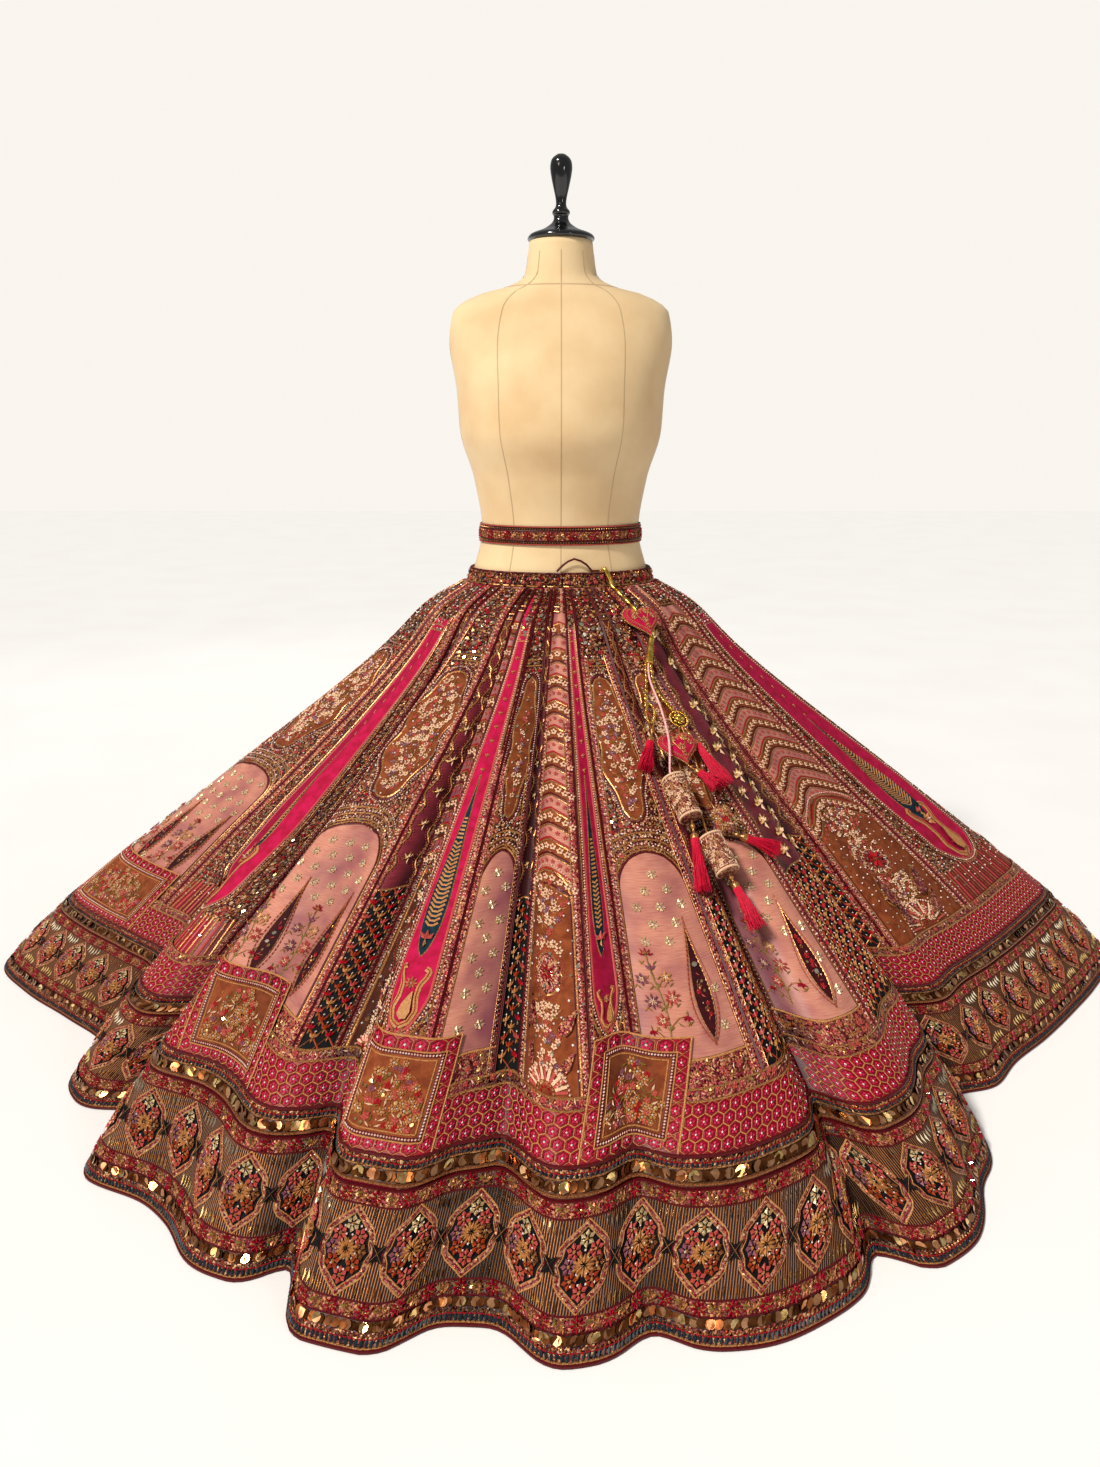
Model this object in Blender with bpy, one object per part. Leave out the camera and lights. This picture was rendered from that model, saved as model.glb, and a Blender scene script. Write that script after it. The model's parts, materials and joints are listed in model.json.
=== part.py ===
"""Lehenga skirt on a limbless dress form: flared panels, hem border, casing, drawstring, latkans, belt.

Metres, +Z up. The form's axis is the Z axis, the floor and the hem are at z = 0, the front faces -Y.
An azimuth is measured in degrees from the front (-Y), growing towards +X.
"""
import bisect
import math

import bmesh
import bpy
from mathutils import Matrix, Vector

# ---------------------------------------------------------------- driving sizes
CLOTH = 0.003              # wall of the embroidered, lined panels
SEAM_GAP = 0.0003          # distance kept between pieces that meet
FORM_CLEARANCE = 0.0003    # distance from the form to the casing and the belt

WAIST_Z = 0.645            # top of the panels, under the casing
CASING_TOP_Z = 0.667
CASING_WALL = 0.003
PANEL_TOP_OFFSET = 0.0056  # how far the panels' outer face starts outside the form
BORDER_LEVEL = 0.834       # share of the drop at which the border starts
COLUMN_DEG = 1.5           # facet width on the skirt
FORM_SIDES = 24            # facets round the form and the belt
PANEL_LEVELS = (0.0, 0.04, 0.11, 0.26, 0.52, BORDER_LEVEL)
BORDER_LEVELS = (BORDER_LEVEL, 1.0)

FLARE_BULGE = 0.3          # how much the flare swells in its lower half
PUFF = 0.018               # swell of the gathers just under the waist
PUFF_LEVEL = 0.06
GATHERS = 60               # gathers round the waist
GATHER_DEPTH = 0.0040
GATHER_FADE = 0.10         # share of the drop over which the gathers fade

BELT_Z = 0.720
BELT_HEIGHT = 0.028
BELT_WALL = 0.002
BELT_ROWS = (BELT_Z + BELT_HEIGHT / 2, BELT_Z, BELT_Z - BELT_HEIGHT / 2)

POLE_RADIUS = 0.016
BASE_RADIUS = 0.170
BASE_HEIGHT = 0.015

# Dress form, a row for each level: half width, depth to the front, depth to the back
FORM_COLUMNS = ("z", "half_width", "front", "back")
FORM_SECTIONS = (
    (0.420, 0.150, 0.105, 0.110),
    (0.500, 0.172, 0.108, 0.125),
    (0.580, 0.162, 0.104, 0.112),
    (0.660, 0.136, 0.094, 0.090),
    (0.725, 0.121, 0.088, 0.080),
    (0.800, 0.132, 0.103, 0.088),
    (0.870, 0.152, 0.126, 0.095),
    (0.930, 0.156, 0.118, 0.100),
    (1.000, 0.166, 0.090, 0.096),
    (1.040, 0.160, 0.070, 0.082),
    (1.062, 0.128, 0.060, 0.070),
    (1.075, 0.078, 0.053, 0.060),
    (1.090, 0.053, 0.049, 0.053),
    (1.137, 0.046, 0.046, 0.046),
)

# Hem radius, a row for each ridge, valley or shoulder of a fold
FOLD_COLUMNS = ("azimuth", "hem_radius")
FOLDS = (
    (-88, 0.940), (-81, 0.870), (-74, 0.790), (-66, 0.735), (-59, 0.790), (-55, 0.785),
    (-50, 0.722), (-44.5, 0.832), (-37, 0.808), (-33.5, 0.815), (-28, 0.848), (-23.5, 0.843),
    (-21.5, 0.785), (-18.6, 0.884), (-12, 0.886), (-9.5, 0.838), (-4.5, 0.832), (-1.2, 0.882),
    (3.2, 0.870), (5.8, 0.836), (8.5, 0.868), (13, 0.876), (18, 0.862), (22.5, 0.838),
    (25, 0.790), (27.5, 0.850), (32, 0.846), (36, 0.820), (39, 0.790), (42.5, 0.778),
    (46.5, 0.735), (51, 0.680), (56, 0.722), (61, 0.730), (69, 0.773), (76, 0.822),
    (83, 0.885), (90, 0.948), (97, 0.900), (104, 0.800), (110, 0.745), (117, 0.830),
    (123, 0.835), (129, 0.760), (135, 0.845), (142, 0.850), (148, 0.775), (154, 0.860),
    (160, 0.872), (166, 0.790), (172, 0.872), (179, 0.880), (185, 0.800), (191, 0.868),
    (198, 0.875), (204, 0.790), (210, 0.860), (217, 0.852), (223, 0.770), (229, 0.842),
    (236, 0.835), (242, 0.752), (248, 0.840), (254, 0.862), (261, 0.880),
)

# Valleys that are deepest at mid height, where a panel is folded in
DEEP_COLUMNS = ("azimuth", "half_width", "depth")
DEEP_FOLDS = (
    (-52, 2.6, 0.034), (-24, 1.8, 0.028), (-5.5, 1.7, 0.026), (25, 2.0, 0.032), (50, 3.0, 0.036),
    (109, 3.0, 0.034), (148, 2.6, 0.030), (185, 2.4, 0.030), (223, 2.6, 0.030), (243, 2.8, 0.034),
)

# Panels in order round the skirt: where each ends and what is embroidered on it
PANELS_START = -92.0
PANEL_COLUMNS = ("end_azimuth", "kind")
PANELS = (
    (-73.0, "arch"), (-53.0, "cypress"), (-47.0, "plum"), (-28.0, "arch"), (-24.0, "plum"),
    (-19.7, "chevron"), (-13.0, "cypress"), (-7.0, "arch"), (-4.5, "plum"), (2.4, "chevron"),
    (7.0, "cypress"), (19.2, "arch"), (24.5, "plum"), (34.7, "arch"), (54.3, "plum"),
    (73.0, "chevron"), (92.0, "cypress"), (112.0, "arch"), (130.0, "plum"), (150.0, "chevron"),
    (168.0, "cypress"), (189.0, "arch"), (207.0, "plum"), (228.0, "chevron"), (247.0, "cypress"),
    (268.0, "plum"),
)
BORDER_ENDS = (-92.0, -50.0, 25.0, 88.0, 148.0, 208.0, 268.0)

# Latkans: places on the cone that touches the folds' ridges, as azimuth, height and distance from it
LATKAN_REST_RADIUS = 0.864
SPOT_COLUMNS = ("azimuth", "height", "lift")
SPOTS = {
    "heart_1": (38.0, 0.598, 0.0105),
    "strand_a": (27.6, 0.523, 0.0045),
    "strand_a_low": (24.9, 0.506, 0.0065),
    "ring_left": (23.0, 0.484, 0.0180),
    "strand_b": (27.9, 0.521, 0.0150),
    "strand_b_mid": (26.3, 0.487, 0.0200),
    "strand_b_low": (24.0, 0.452, 0.0240),
    "drum_1_top": (21.7, 0.418, 0.0180),
    "drum_1_end": (21.9, 0.377, 0.0180),
    "strand_c": (30.0, 0.517, 0.0040),
    "ring_right": (31.8, 0.481, 0.0050),
    "heart_2": (26.8, 0.449, 0.0125),
    "strand_d": (25.6, 0.430, 0.0028),
    "strand_d_low": (24.9, 0.385, 0.0070),
    "drum_2_top": (23.7, 0.360, 0.0170),
    "drum_2_end": (24.0, 0.325, 0.0170),
    "strand_e": (29.5, 0.424, 0.0030),
    "strand_e_low": (27.9, 0.397, 0.0060),
    "bulb_top": (27.2, 0.384, 0.0160),
    "bulb_end": (28.0, 0.360, 0.0160),
    "tassel_a": (33.0, 0.404, 0.0110),
    "tassel_b": (35.0, 0.337, 0.0100),
    "tassel_c": (19.6, 0.314, 0.0100),
    "tassel_d": (25.0, 0.277, 0.0100),
    "tassel_e": (29.9, 0.402, 0.0220),
    "tassel_f": (17.2, 0.430, 0.0110),
}
CORD_RADIUS = 0.0015
CORD_STEP = 2.8            # distance between a cord's points, in diameters
DRAWSTRING_RADIUS = 0.0016
HEART_SIZE = 0.056
HEART_WALL = 0.013
RING_RADIUS = 0.0130
RING_WIRE = 0.0018
DRUM_RADIUS = 0.0145
BULB_RADIUS = 0.0135

# Turned shapes, as radius and height above their foot
PROFILE_COLUMNS = ("radius", "height")
NECK_PLATE = ((0.046, 0.000), (0.049, 0.002), (0.049, 0.006), (0.044, 0.010), (0.028, 0.015), (0.018, 0.021))
KNOB = ((0.012, 0.026), (0.010, 0.034), (0.013, 0.037), (0.013, 0.041), (0.0075, 0.046), (0.0075, 0.056),
        (0.011, 0.070), (0.0155, 0.090), (0.0165, 0.101), (0.014, 0.110), (0.006, 0.1155))
BASE_CHAMFER = 0.003
BULB_SHARES = ((0.25, 0.0), (0.55, 0.08), (0.9, 0.28), (1.0, 0.5), (0.9, 0.72), (0.55, 0.92), (0.3, 1.0))

# The drawstring's loop, from its hole in the casing: sideways, backwards and up; then its way to the gold bar
LOOP_COLUMNS = ("across", "back", "up")
DRAWSTRING_LOOP = ((-0.006, 0.0, 0.0), (0.003, 0.0, 0.009), (0.020, 0.0, 0.0185), (0.038, 0.002, 0.010),
                   (0.046, 0.006, 0.0005))
DRAWSTRING_FRONT = 0.0045  # how far in front of the form it comes out
DRAWSTRING_BESIDE = 0.0040
DRAWSTRING_AZIMUTHS = (29.0, 32.5)

# The gold bar over the casing's edge: azimuth, distance from the form, height over the casing
BAR_COLUMNS = ("azimuth", "offset", "rise")
BAR_BEND = ((36.0, 0.0095, 0.0048), (38.0, 0.0150, -0.009))
BAR_LAST = (39.5, 0.643, 0.0065)
BAR_BEADS = (0.15, 0.3, 0.45, 0.6, 0.75, 0.9)
BAR_RADII = (0.0015, 0.0015, 0.0034, 0.0038, 0.0036, 0.0016, 0.0036, 0.0016, 0.0036, 0.0016, 0.0030,
             CORD_RADIUS, CORD_RADIUS)
BAR_ENTRY = 0.004
CAP_END = (31.5, 0.545, 0.0090)
STRING_SPREAD = 0.0042     # between the strings that leave the cap
STRING_STEP = 0.006        # their straight start

# Colour, roughness and metallic share of each material
LOOKS = {
    "rani_velvet": ("#B3174E", 0.85, 0.0),
    "rust_velvet": ("#A8602B", 0.85, 0.0),
    "plum_silk": ("#6B2A48", 0.55, 0.0),
    "pink_silk": ("#CC8A7C", 0.50, 0.0),
    "gold_embroidery": ("#8C6236", 0.45, 0.3),
    "maroon_satin": ("#6E1730", 0.55, 0.0),
    "gold_metal": ("#C8A25C", 0.28, 1.0),
    "red_silk_thread": ("#D3122F", 0.50, 0.0),
    "fuchsia_velvet": ("#D31C50", 0.80, 0.0),
    "cream_jersey": ("#F3DDB3", 0.80, 0.0),
    "black_lacquer": ("#120D0C", 0.15, 0.0),
    "steel": ("#8A8D90", 0.30, 1.0),
}
KIND_LOOKS = {"cypress": "rani_velvet", "arch": "pink_silk", "plum": "plum_silk", "chevron": "rust_velvet"}


# ---------------------------------------------------------------- scene and materials
def clear_scene():
    for old in list(bpy.data.objects):
        bpy.data.objects.remove(old, do_unlink=True)


def linear(hex_colour):
    """sRGB hex to linear RGBA."""
    channels = [int(hex_colour[i:i + 2], 16) / 255 for i in (1, 3, 5)]
    return [c / 12.92 if c <= 0.04045 else ((c + 0.055) / 1.055) ** 2.4 for c in channels] + [1.0]


def material(name):
    found = bpy.data.materials.get(name)
    if found:
        return found
    colour, roughness, metallic = LOOKS[name]
    made = bpy.data.materials.new(name)
    made.use_nodes = True
    shader = made.node_tree.nodes["Principled BSDF"]
    shader.inputs["Base Color"].default_value = linear(colour)
    shader.inputs["Roughness"].default_value = roughness
    shader.inputs["Metallic"].default_value = metallic
    made.diffuse_color = linear(colour)
    return made


def finish(name, bm, look):
    """Turn a bmesh into a named, smooth-shaded object with outward faces."""
    bmesh.ops.recalc_face_normals(bm, faces=bm.faces)
    mesh = bpy.data.meshes.new(name)
    bm.to_mesh(mesh)
    bm.free()
    mesh.shade_smooth()
    mesh.set_sharp_from_angle(angle=math.radians(40))
    made = bpy.data.objects.new(name, mesh)
    made.data.materials.append(material(look))
    bpy.context.scene.collection.objects.link(made)
    return made


# ---------------------------------------------------------------- smooth curves through short tables
class SmoothCurve:
    """A curve through a table's rows that never overshoots between them."""

    def __init__(self, xs, ys, period=None):
        if period:
            xs = [xs[-1] - period] + list(xs) + [xs[0] + period, xs[1] + period]
            ys = [ys[-1]] + list(ys) + [ys[0], ys[1]]
        self.xs, self.ys, self.period = list(xs), list(ys), period
        steps = [(self.ys[i + 1] - self.ys[i]) / (self.xs[i + 1] - self.xs[i]) for i in range(len(xs) - 1)]
        inner = [2 * a * b / (a + b) if a * b > 0 else 0.0 for a, b in zip(steps, steps[1:])]
        self.slopes = [steps[0]] + inner + [steps[-1]]

    def __call__(self, x):
        if self.period:
            x = (x - self.xs[1]) % self.period + self.xs[1]
        i = min(max(bisect.bisect_right(self.xs, x) - 1, 0), len(self.xs) - 2)
        width = self.xs[i + 1] - self.xs[i]
        s = (x - self.xs[i]) / width
        rise = (3 - 2 * s) * s * s
        ends = self.ys[i] * (1 - rise) + self.ys[i + 1] * rise
        return ends + width * s * (1 - s) * ((1 - s) * self.slopes[i] - s * self.slopes[i + 1])


FORM_Z = [row[0] for row in FORM_SECTIONS]
FORM_WIDTH, FORM_FRONT, FORM_BACK = (
    SmoothCurve(FORM_Z, [row[column] for row in FORM_SECTIONS]) for column in (1, 2, 3))
HEM_RADIUS = SmoothCurve([row[0] for row in FOLDS], [row[1] for row in FOLDS], period=360)


def form_radius(azimuth, z):
    """Distance from the axis to the form's surface."""
    a = math.radians(azimuth)
    depth = FORM_FRONT(z) if math.cos(a) > 0 else FORM_BACK(z)
    return 1 / math.hypot(math.sin(a) / FORM_WIDTH(z), math.cos(a) / depth)


def polar(azimuth, radius, z):
    a = math.radians(azimuth)
    return Vector((radius * math.sin(a), -radius * math.cos(a), z))


# ---------------------------------------------------------------- the skirt's surface
def waist_radius(azimuth):
    return form_radius(azimuth, WAIST_Z) + PANEL_TOP_OFFSET


def flare(level):
    return level + FLARE_BULGE * level ** 3 * (1 - level)


def puff(level):
    x = level / PUFF_LEVEL
    return PUFF * (x * math.exp(1 - x)) ** 2


def deep_fold(azimuth, level):
    total = 0.0
    for centre, half_width, depth in DEEP_FOLDS:
        away = (azimuth - centre + 180) % 360 - 180
        total += depth * math.exp(-(away / half_width) ** 2)
    return total * math.sin(math.pi * level) ** 1.5


def gather(azimuth, level):
    """Height of the gathers, which are raised on the outer face over a plain inside."""
    wave = 0.5 + 0.5 * math.cos(math.radians(azimuth * GATHERS))
    return GATHER_DEPTH * wave * math.exp(-level / GATHER_FADE)


def cone_radius(azimuth, level, hem_radius):
    start = waist_radius(azimuth)
    return start + (hem_radius - start) * flare(level) + puff(level)


def skirt_radius(azimuth, level):
    """Radius of the folded skirt without its gathers."""
    level = min(max(level, 0.0), 1.0)
    return cone_radius(azimuth, level, HEM_RADIUS(azimuth)) - deep_fold(azimuth, level)


def skirt_point(azimuth, level):
    return polar(azimuth, skirt_radius(azimuth, level), WAIST_Z * (1 - level))


def inward(azimuth, level):
    """Horizontal step from the outer face that gives a wall of CLOTH thickness."""
    across = skirt_point(azimuth + 0.1, level) - skirt_point(azimuth - 0.1, level)
    low, high = min(level + 0.004, 1.0), max(level - 0.004, 0.0)
    along = skirt_point(azimuth, high) - skirt_point(azimuth, low)
    normal = across.cross(along).normalized()
    flat = Vector((normal.x, normal.y, 0))
    return -flat.normalized() * (CLOTH / max(flat.length, 0.6))


def skirt_wall(azimuth, level, side=0, drop=0.0):
    """Outer and inner point; side shifts a seam's edge by half a gap, drop lowers or raises it."""
    slope = (skirt_radius(azimuth + 0.1, level) - skirt_radius(azimuth - 0.1, level)) / math.radians(0.2)
    azimuth += side * math.degrees(SEAM_GAP / 2 / math.hypot(skirt_radius(azimuth, level), slope))
    level += drop / WAIST_Z
    plain = skirt_point(azimuth, level)
    return plain + polar(azimuth, gather(azimuth, level), 0), plain + inward(azimuth, level)


def grid_wall(name, grid, look, around=False):
    """A closed wall from rows of (outer, inner) point pairs."""
    bm = bmesh.new()
    rows = [[[bm.verts.new(point) for point in pair] for pair in row] for row in grid]
    columns = len(rows[0])
    pairs = [(i, (i + 1) % columns) for i in range(columns if around else columns - 1)]
    for upper, lower in zip(rows, rows[1:]):
        for i, j in pairs:
            bm.faces.new((upper[i][0], lower[i][0], lower[j][0], upper[j][0]))
            bm.faces.new((upper[i][1], upper[j][1], lower[j][1], lower[i][1]))
        for end in () if around else (0, -1):
            # both neighbours at a seam split their twisted edge along the same diagonal
            bm.faces.new((upper[end][0], upper[end][1], lower[end][1]))
            bm.faces.new((upper[end][0], lower[end][1], lower[end][0]))
    for i, j in pairs:
        bm.faces.new((rows[0][i][0], rows[0][j][0], rows[0][j][1], rows[0][i][1]))
        bm.faces.new((rows[-1][i][0], rows[-1][i][1], rows[-1][j][1], rows[-1][j][0]))
    return finish(name, bm, look)


def skirt_piece(name, start, end, levels, look, top_drop=0.0, end_drop=0.0):
    """One panel or border length between two seams."""
    count = max(3, round((end - start) / COLUMN_DEG))
    grid = []
    for level in levels:
        drop = top_drop if level == levels[0] else end_drop if level == levels[-1] else 0.0
        row = []
        for i in range(count + 1):
            side = 1 if i == 0 else -1 if i == count else 0
            row.append(skirt_wall(start + (end - start) * i / count, level, side, drop))
        grid.append(row)
    return grid_wall(name, grid, look)


def make_panels():
    start = PANELS_START
    for number, (end, kind) in enumerate(PANELS, 1):
        name = f"kali_{number:02d}_{kind}"
        skirt_piece(name, start, end, PANEL_LEVELS, KIND_LOOKS[kind], SEAM_GAP, -SEAM_GAP / 2)
        start = end


def make_border():
    for number, (start, end) in enumerate(zip(BORDER_ENDS, BORDER_ENDS[1:]), 1):
        skirt_piece(f"hem_border_{number}", start, end, BORDER_LEVELS, "gold_embroidery", SEAM_GAP / 2)


def make_casing():
    """The gathered band at the waist; it lies on the form."""
    count = GATHERS * 2
    grid = []
    for z in (CASING_TOP_Z, WAIST_Z):
        row = []
        for i in range(count):
            azimuth = 360 * i / count
            inner = form_radius(azimuth, z) + FORM_CLEARANCE
            swell = GATHER_DEPTH * 0.8 if i % 2 == 0 else 0.0
            row.append((polar(azimuth, inner + CASING_WALL + swell, z), polar(azimuth, inner, z)))
        grid.append(row)
    grid_wall("waist_casing", grid, "maroon_satin", around=True)


def make_belt():
    grid = []
    for z in BELT_ROWS:
        row = []
        for i in range(FORM_SIDES):
            azimuth = 360 * i / FORM_SIDES
            inner = form_radius(azimuth, z) + FORM_CLEARANCE
            row.append((polar(azimuth, inner + BELT_WALL, z), polar(azimuth, inner, z)))
        grid.append(row)
    grid_wall("belt", grid, "gold_embroidery", around=True)


# ---------------------------------------------------------------- dress form and stand
def ring_solid(name, rings, look):
    """A closed solid through rings of points, with a flat face at each end."""
    bm = bmesh.new()
    rows = [[bm.verts.new(point) for point in ring] for ring in rings]
    for lower, upper in zip(rows, rows[1:]):
        for i in range(len(lower)):
            j = (i + 1) % len(lower)
            bm.faces.new((lower[i], lower[j], upper[j], upper[i]))
    bm.faces.new(rows[0])
    bm.faces.new(list(reversed(rows[-1])))
    return finish(name, bm, look)


def turned(name, profile, look, sides=24, turn=Matrix()):
    """A solid turned round Z from (radius, z) pairs; turn places it."""
    rings = [[turn @ polar(360 * i / sides, radius, z) for i in range(sides)] for radius, z in profile]
    return ring_solid(name, rings, look)


def make_form():
    seen = [z for z in FORM_Z if z > WAIST_Z]
    halfway = [(low + high) / 2 for low, high in zip(seen, seen[1:]) if high - low > 0.03]
    heights = sorted({*FORM_Z, *halfway, *BELT_ROWS, WAIST_Z, CASING_TOP_Z})
    turns = [360 * i / FORM_SIDES for i in range(FORM_SIDES)]
    rings = [[polar(turn, form_radius(turn, z), z) for turn in turns] for z in heights]
    ring_solid("dress_form", rings, "cream_jersey")


def make_finial():
    """The neck plate and the turned knob above it, as one piece of lacquered wood."""
    z = FORM_Z[-1] + SEAM_GAP
    turned("finial", [(radius, z + rise) for radius, rise in NECK_PLATE + KNOB], "black_lacquer", sides=18)


def make_stand():
    top = BASE_HEIGHT
    base = ((BASE_RADIUS, 0.0), (BASE_RADIUS, top - BASE_CHAMFER), (BASE_RADIUS - BASE_CHAMFER, top))
    turned("stand_base", base, "black_lacquer", sides=40)
    pole = ((POLE_RADIUS, top + SEAM_GAP), (POLE_RADIUS, FORM_Z[0] - SEAM_GAP))
    turned("stand_pole", pole, "steel", sides=16)


# ---------------------------------------------------------------- drawstring and latkans
def rest_point(azimuth, z, lift=0.0):
    """A point over the cone that touches the ridges, moved out along its normal."""
    def surface(turn, height):
        level = min(max(1 - height / WAIST_Z, 0.0), 1.0)
        return polar(turn, cone_radius(turn, level, LATKAN_REST_RADIUS), height)
    across = surface(azimuth + 0.5, z) - surface(azimuth - 0.5, z)
    along = surface(azimuth, z + 0.003) - surface(azimuth, z - 0.003)
    return surface(azimuth, z) + across.cross(along).normalized() * lift


def spot(name):
    return rest_point(*SPOTS[name])


def rest_frame(azimuth, z):
    """Axes on the rest cone: towards larger azimuths, up the slope, out of the cloth."""
    across = (rest_point(azimuth + 0.5, z) - rest_point(azimuth - 0.5, z)).normalized()
    along = (rest_point(azimuth, z + 0.003) - rest_point(azimuth, z - 0.003)).normalized()
    return across, along, across.cross(along).normalized()


def axis_matrix(start, end):
    """Places local Z along start to end, with its origin at start."""
    turn = (end - start).to_track_quat("Z", "Y").to_matrix().to_4x4()
    return Matrix.Translation(start) @ turn


def smooth_route(points, spacing):
    """Points about spacing apart on a smooth curve through the given ones."""
    ends = [points[0] * 2 - points[1]] + list(points) + [points[-1] * 2 - points[-2]]
    route = []
    for a, b, c, d in zip(ends, ends[1:], ends[2:], ends[3:]):
        count = max(1, round((c - b).length / spacing))
        for i in range(count):
            s = i / count
            route.append(0.5 * (2 * b + (c - a) * s + (2 * a - 5 * b + 4 * c - d) * s ** 2
                                + (3 * b - a - 3 * c + d) * s ** 3))
    route.append(points[-1])
    return route


def cord(name, points, radius, look):
    """A tube with filled ends along a smooth route."""
    curve = bpy.data.curves.new(name, "CURVE")
    curve.dimensions = "3D"
    curve.bevel_depth = radius
    curve.bevel_resolution = 2
    curve.use_fill_caps = True
    route = smooth_route(points, radius * 2 * CORD_STEP)
    spline = curve.splines.new("POLY")
    spline.points.add(len(route) - 1)
    for target, point in zip(spline.points, route):
        target.co = (*point, 1.0)
    curve.materials.append(material(look))
    bpy.context.scene.collection.objects.link(bpy.data.objects.new(name, curve))


def tube_solid(name, points, radii, look, sides=10):
    """A solid round a smooth route with a radius for each of its own points."""
    rings = []
    for i, point in enumerate(points):
        before, after = points[max(i - 1, 0)], points[min(i + 1, len(points) - 1)]
        turn = axis_matrix(point, point + after - before)
        rings.append([turn @ polar(360 * k / sides, radii[i], 0) for k in range(sides)])
    return ring_solid(name, rings, look)


def heart(name, look):
    """A padded heart lying on the cloth; returns its tip, a string's seat in its notch and its up axis."""
    azimuth, z, lift = SPOTS[name]
    centre = rest_point(azimuth, z, lift)
    across, along, out = rest_frame(azimuth, z)
    sides = 24
    outline = []
    for i in range(sides):
        a = 2 * math.pi * i / sides
        x = math.sin(a) ** 3
        y = (13 * math.cos(a) - 5 * math.cos(2 * a) - 2 * math.cos(3 * a) - math.cos(4 * a)) / 16
        outline.append((x * HEART_SIZE / 2, y * HEART_SIZE / 2))
    layers = ((0.72, -0.5), (0.94, -0.36), (1.0, 0.0), (0.94, 0.30), (0.62, 0.5))
    rings = [[centre + (across * x + along * y) * scale + out * (rise * HEART_WALL) for x, y in outline]
             for scale, rise in layers]
    ring_solid(name, rings, look)
    lowest = min(y for _, y in outline)
    (x_1, y_1), (x_2, y_2) = outline[1:3]
    seat = y_1 + (y_2 - y_1) * (CORD_RADIUS + SEAM_GAP * 1.5 - x_1) / (x_2 - x_1)
    return centre + along * lowest, centre + along * seat, along


def gold_ring(name, normal_axis):
    """A wire ring; returns its centre and plane."""
    azimuth, z, lift = SPOTS[name]
    centre = rest_point(azimuth, z, lift)
    normal = rest_frame(azimuth, z)[normal_axis]
    turn = axis_matrix(centre, centre + normal)
    major, minor = 16, 6
    bm = bmesh.new()
    loops = []
    for i in range(major):
        radial = turn.to_3x3() @ Vector((math.cos(2 * math.pi * i / major), math.sin(2 * math.pi * i / major), 0))
        loops.append([bm.verts.new(centre + radial * (RING_RADIUS + RING_WIRE * math.cos(2 * math.pi * k / minor))
                                   + normal * (RING_WIRE * math.sin(2 * math.pi * k / minor)))
                      for k in range(minor)])
    for i in range(major):
        for k in range(minor):
            a, b = loops[i], loops[(i + 1) % major]
            bm.faces.new((a[k], b[k], b[(k + 1) % minor], a[(k + 1) % minor]))
    finish(name, bm, "gold_metal")
    return centre, normal


def off_face(face, away, towards, radius=CORD_RADIUS):
    """Where a round string of this radius starts, so that its end clears the face it hangs from."""
    lean = away.angle(towards - face)
    return face + away * (SEAM_GAP + radius * math.sin(lean))


def off_ring(ring, towards):
    """Where a string starts outside a ring's wire on the side of a point."""
    centre, normal = ring
    flat = towards - centre
    flat = (flat - normal * flat.dot(normal)).normalized()
    return off_face(centre + flat * (RING_RADIUS + RING_WIRE), flat, towards)


def drum(name, start, end, radius):
    """An embroidered drum with corded rims; start and end are its face centres."""
    length = (end - start).length
    rim = radius + 0.0012
    profile = ((radius * 0.9, 0.0), (rim, 0.001), (rim, 0.005), (radius, 0.006), (radius, length - 0.006),
               (rim, length - 0.005), (rim, length - 0.001), (radius * 0.9, length))
    turned(name, profile, "gold_embroidery", sides=14, turn=axis_matrix(start, end))


def bulb(name, start, end):
    length = (end - start).length
    profile = [(BULB_RADIUS * share, length * rise) for share, rise in BULB_SHARES]
    turned(name, profile, "gold_embroidery", sides=12, turn=axis_matrix(start, end))


def tassel(name, start, end, neck_length=0.012, droop=0.004):
    """A string, a wrapped head and strands whose roots are part of the head."""
    axis = (end - start).normalized()
    turn = axis_matrix(start, end)
    sides, head_radius, root_radius = 7, 0.0050, 0.0060
    profile = [(0.0014, 0.0), (0.0028, neck_length * 0.4), (0.0028, neck_length * 0.6), (0.0015, neck_length),
               (head_radius, neck_length + 0.002), (head_radius, neck_length + 0.008),
               (root_radius, neck_length + 0.011)]
    bm = bmesh.new()
    rows = [[bm.verts.new(turn @ polar(360 * i / sides, r, z)) for i in range(sides)] for r, z in profile]
    for lower, upper in zip(rows, rows[1:]):
        for i in range(sides):
            j = (i + 1) % sides
            bm.faces.new((lower[i], lower[j], upper[j], upper[i]))
    bm.faces.new(rows[0])
    root = rows[-1]
    core = [bm.verts.new(turn @ polar(360 * i / sides, root_radius * 0.5, profile[-1][1])) for i in range(sides)]
    hub = bm.verts.new(turn @ Vector((0, 0, profile[-1][1])))
    roots = []
    for i in range(sides):
        j = (i + 1) % sides
        roots.append(bm.faces.new((root[i], root[j], core[j], core[i])))
        roots.append(bm.faces.new((core[i], core[j], hub)))
    bmesh.ops.recalc_face_normals(bm, faces=bm.faces)
    bmesh.ops.inset_individual(bm, faces=roots, thickness=0.00018)
    strands = bmesh.ops.extrude_discrete_faces(bm, faces=roots)["faces"]
    length = (end - start).length - profile[-1][1]
    centre = turn @ Vector((0, 0, profile[-1][1]))
    for number, face in enumerate(strands):
        middle = face.calc_center_median()
        away = middle - centre
        reach = length * (0.9 + 0.1 * math.sin(number * 2.4))
        sag = Vector((0, 0, -droop * math.sin(number)))
        for vert in face.verts:
            vert.co = middle + (vert.co - middle) * 0.55 + axis * reach + away * 0.75 + sag * 0.25
    finish(name, bm, "red_silk_thread")


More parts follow.
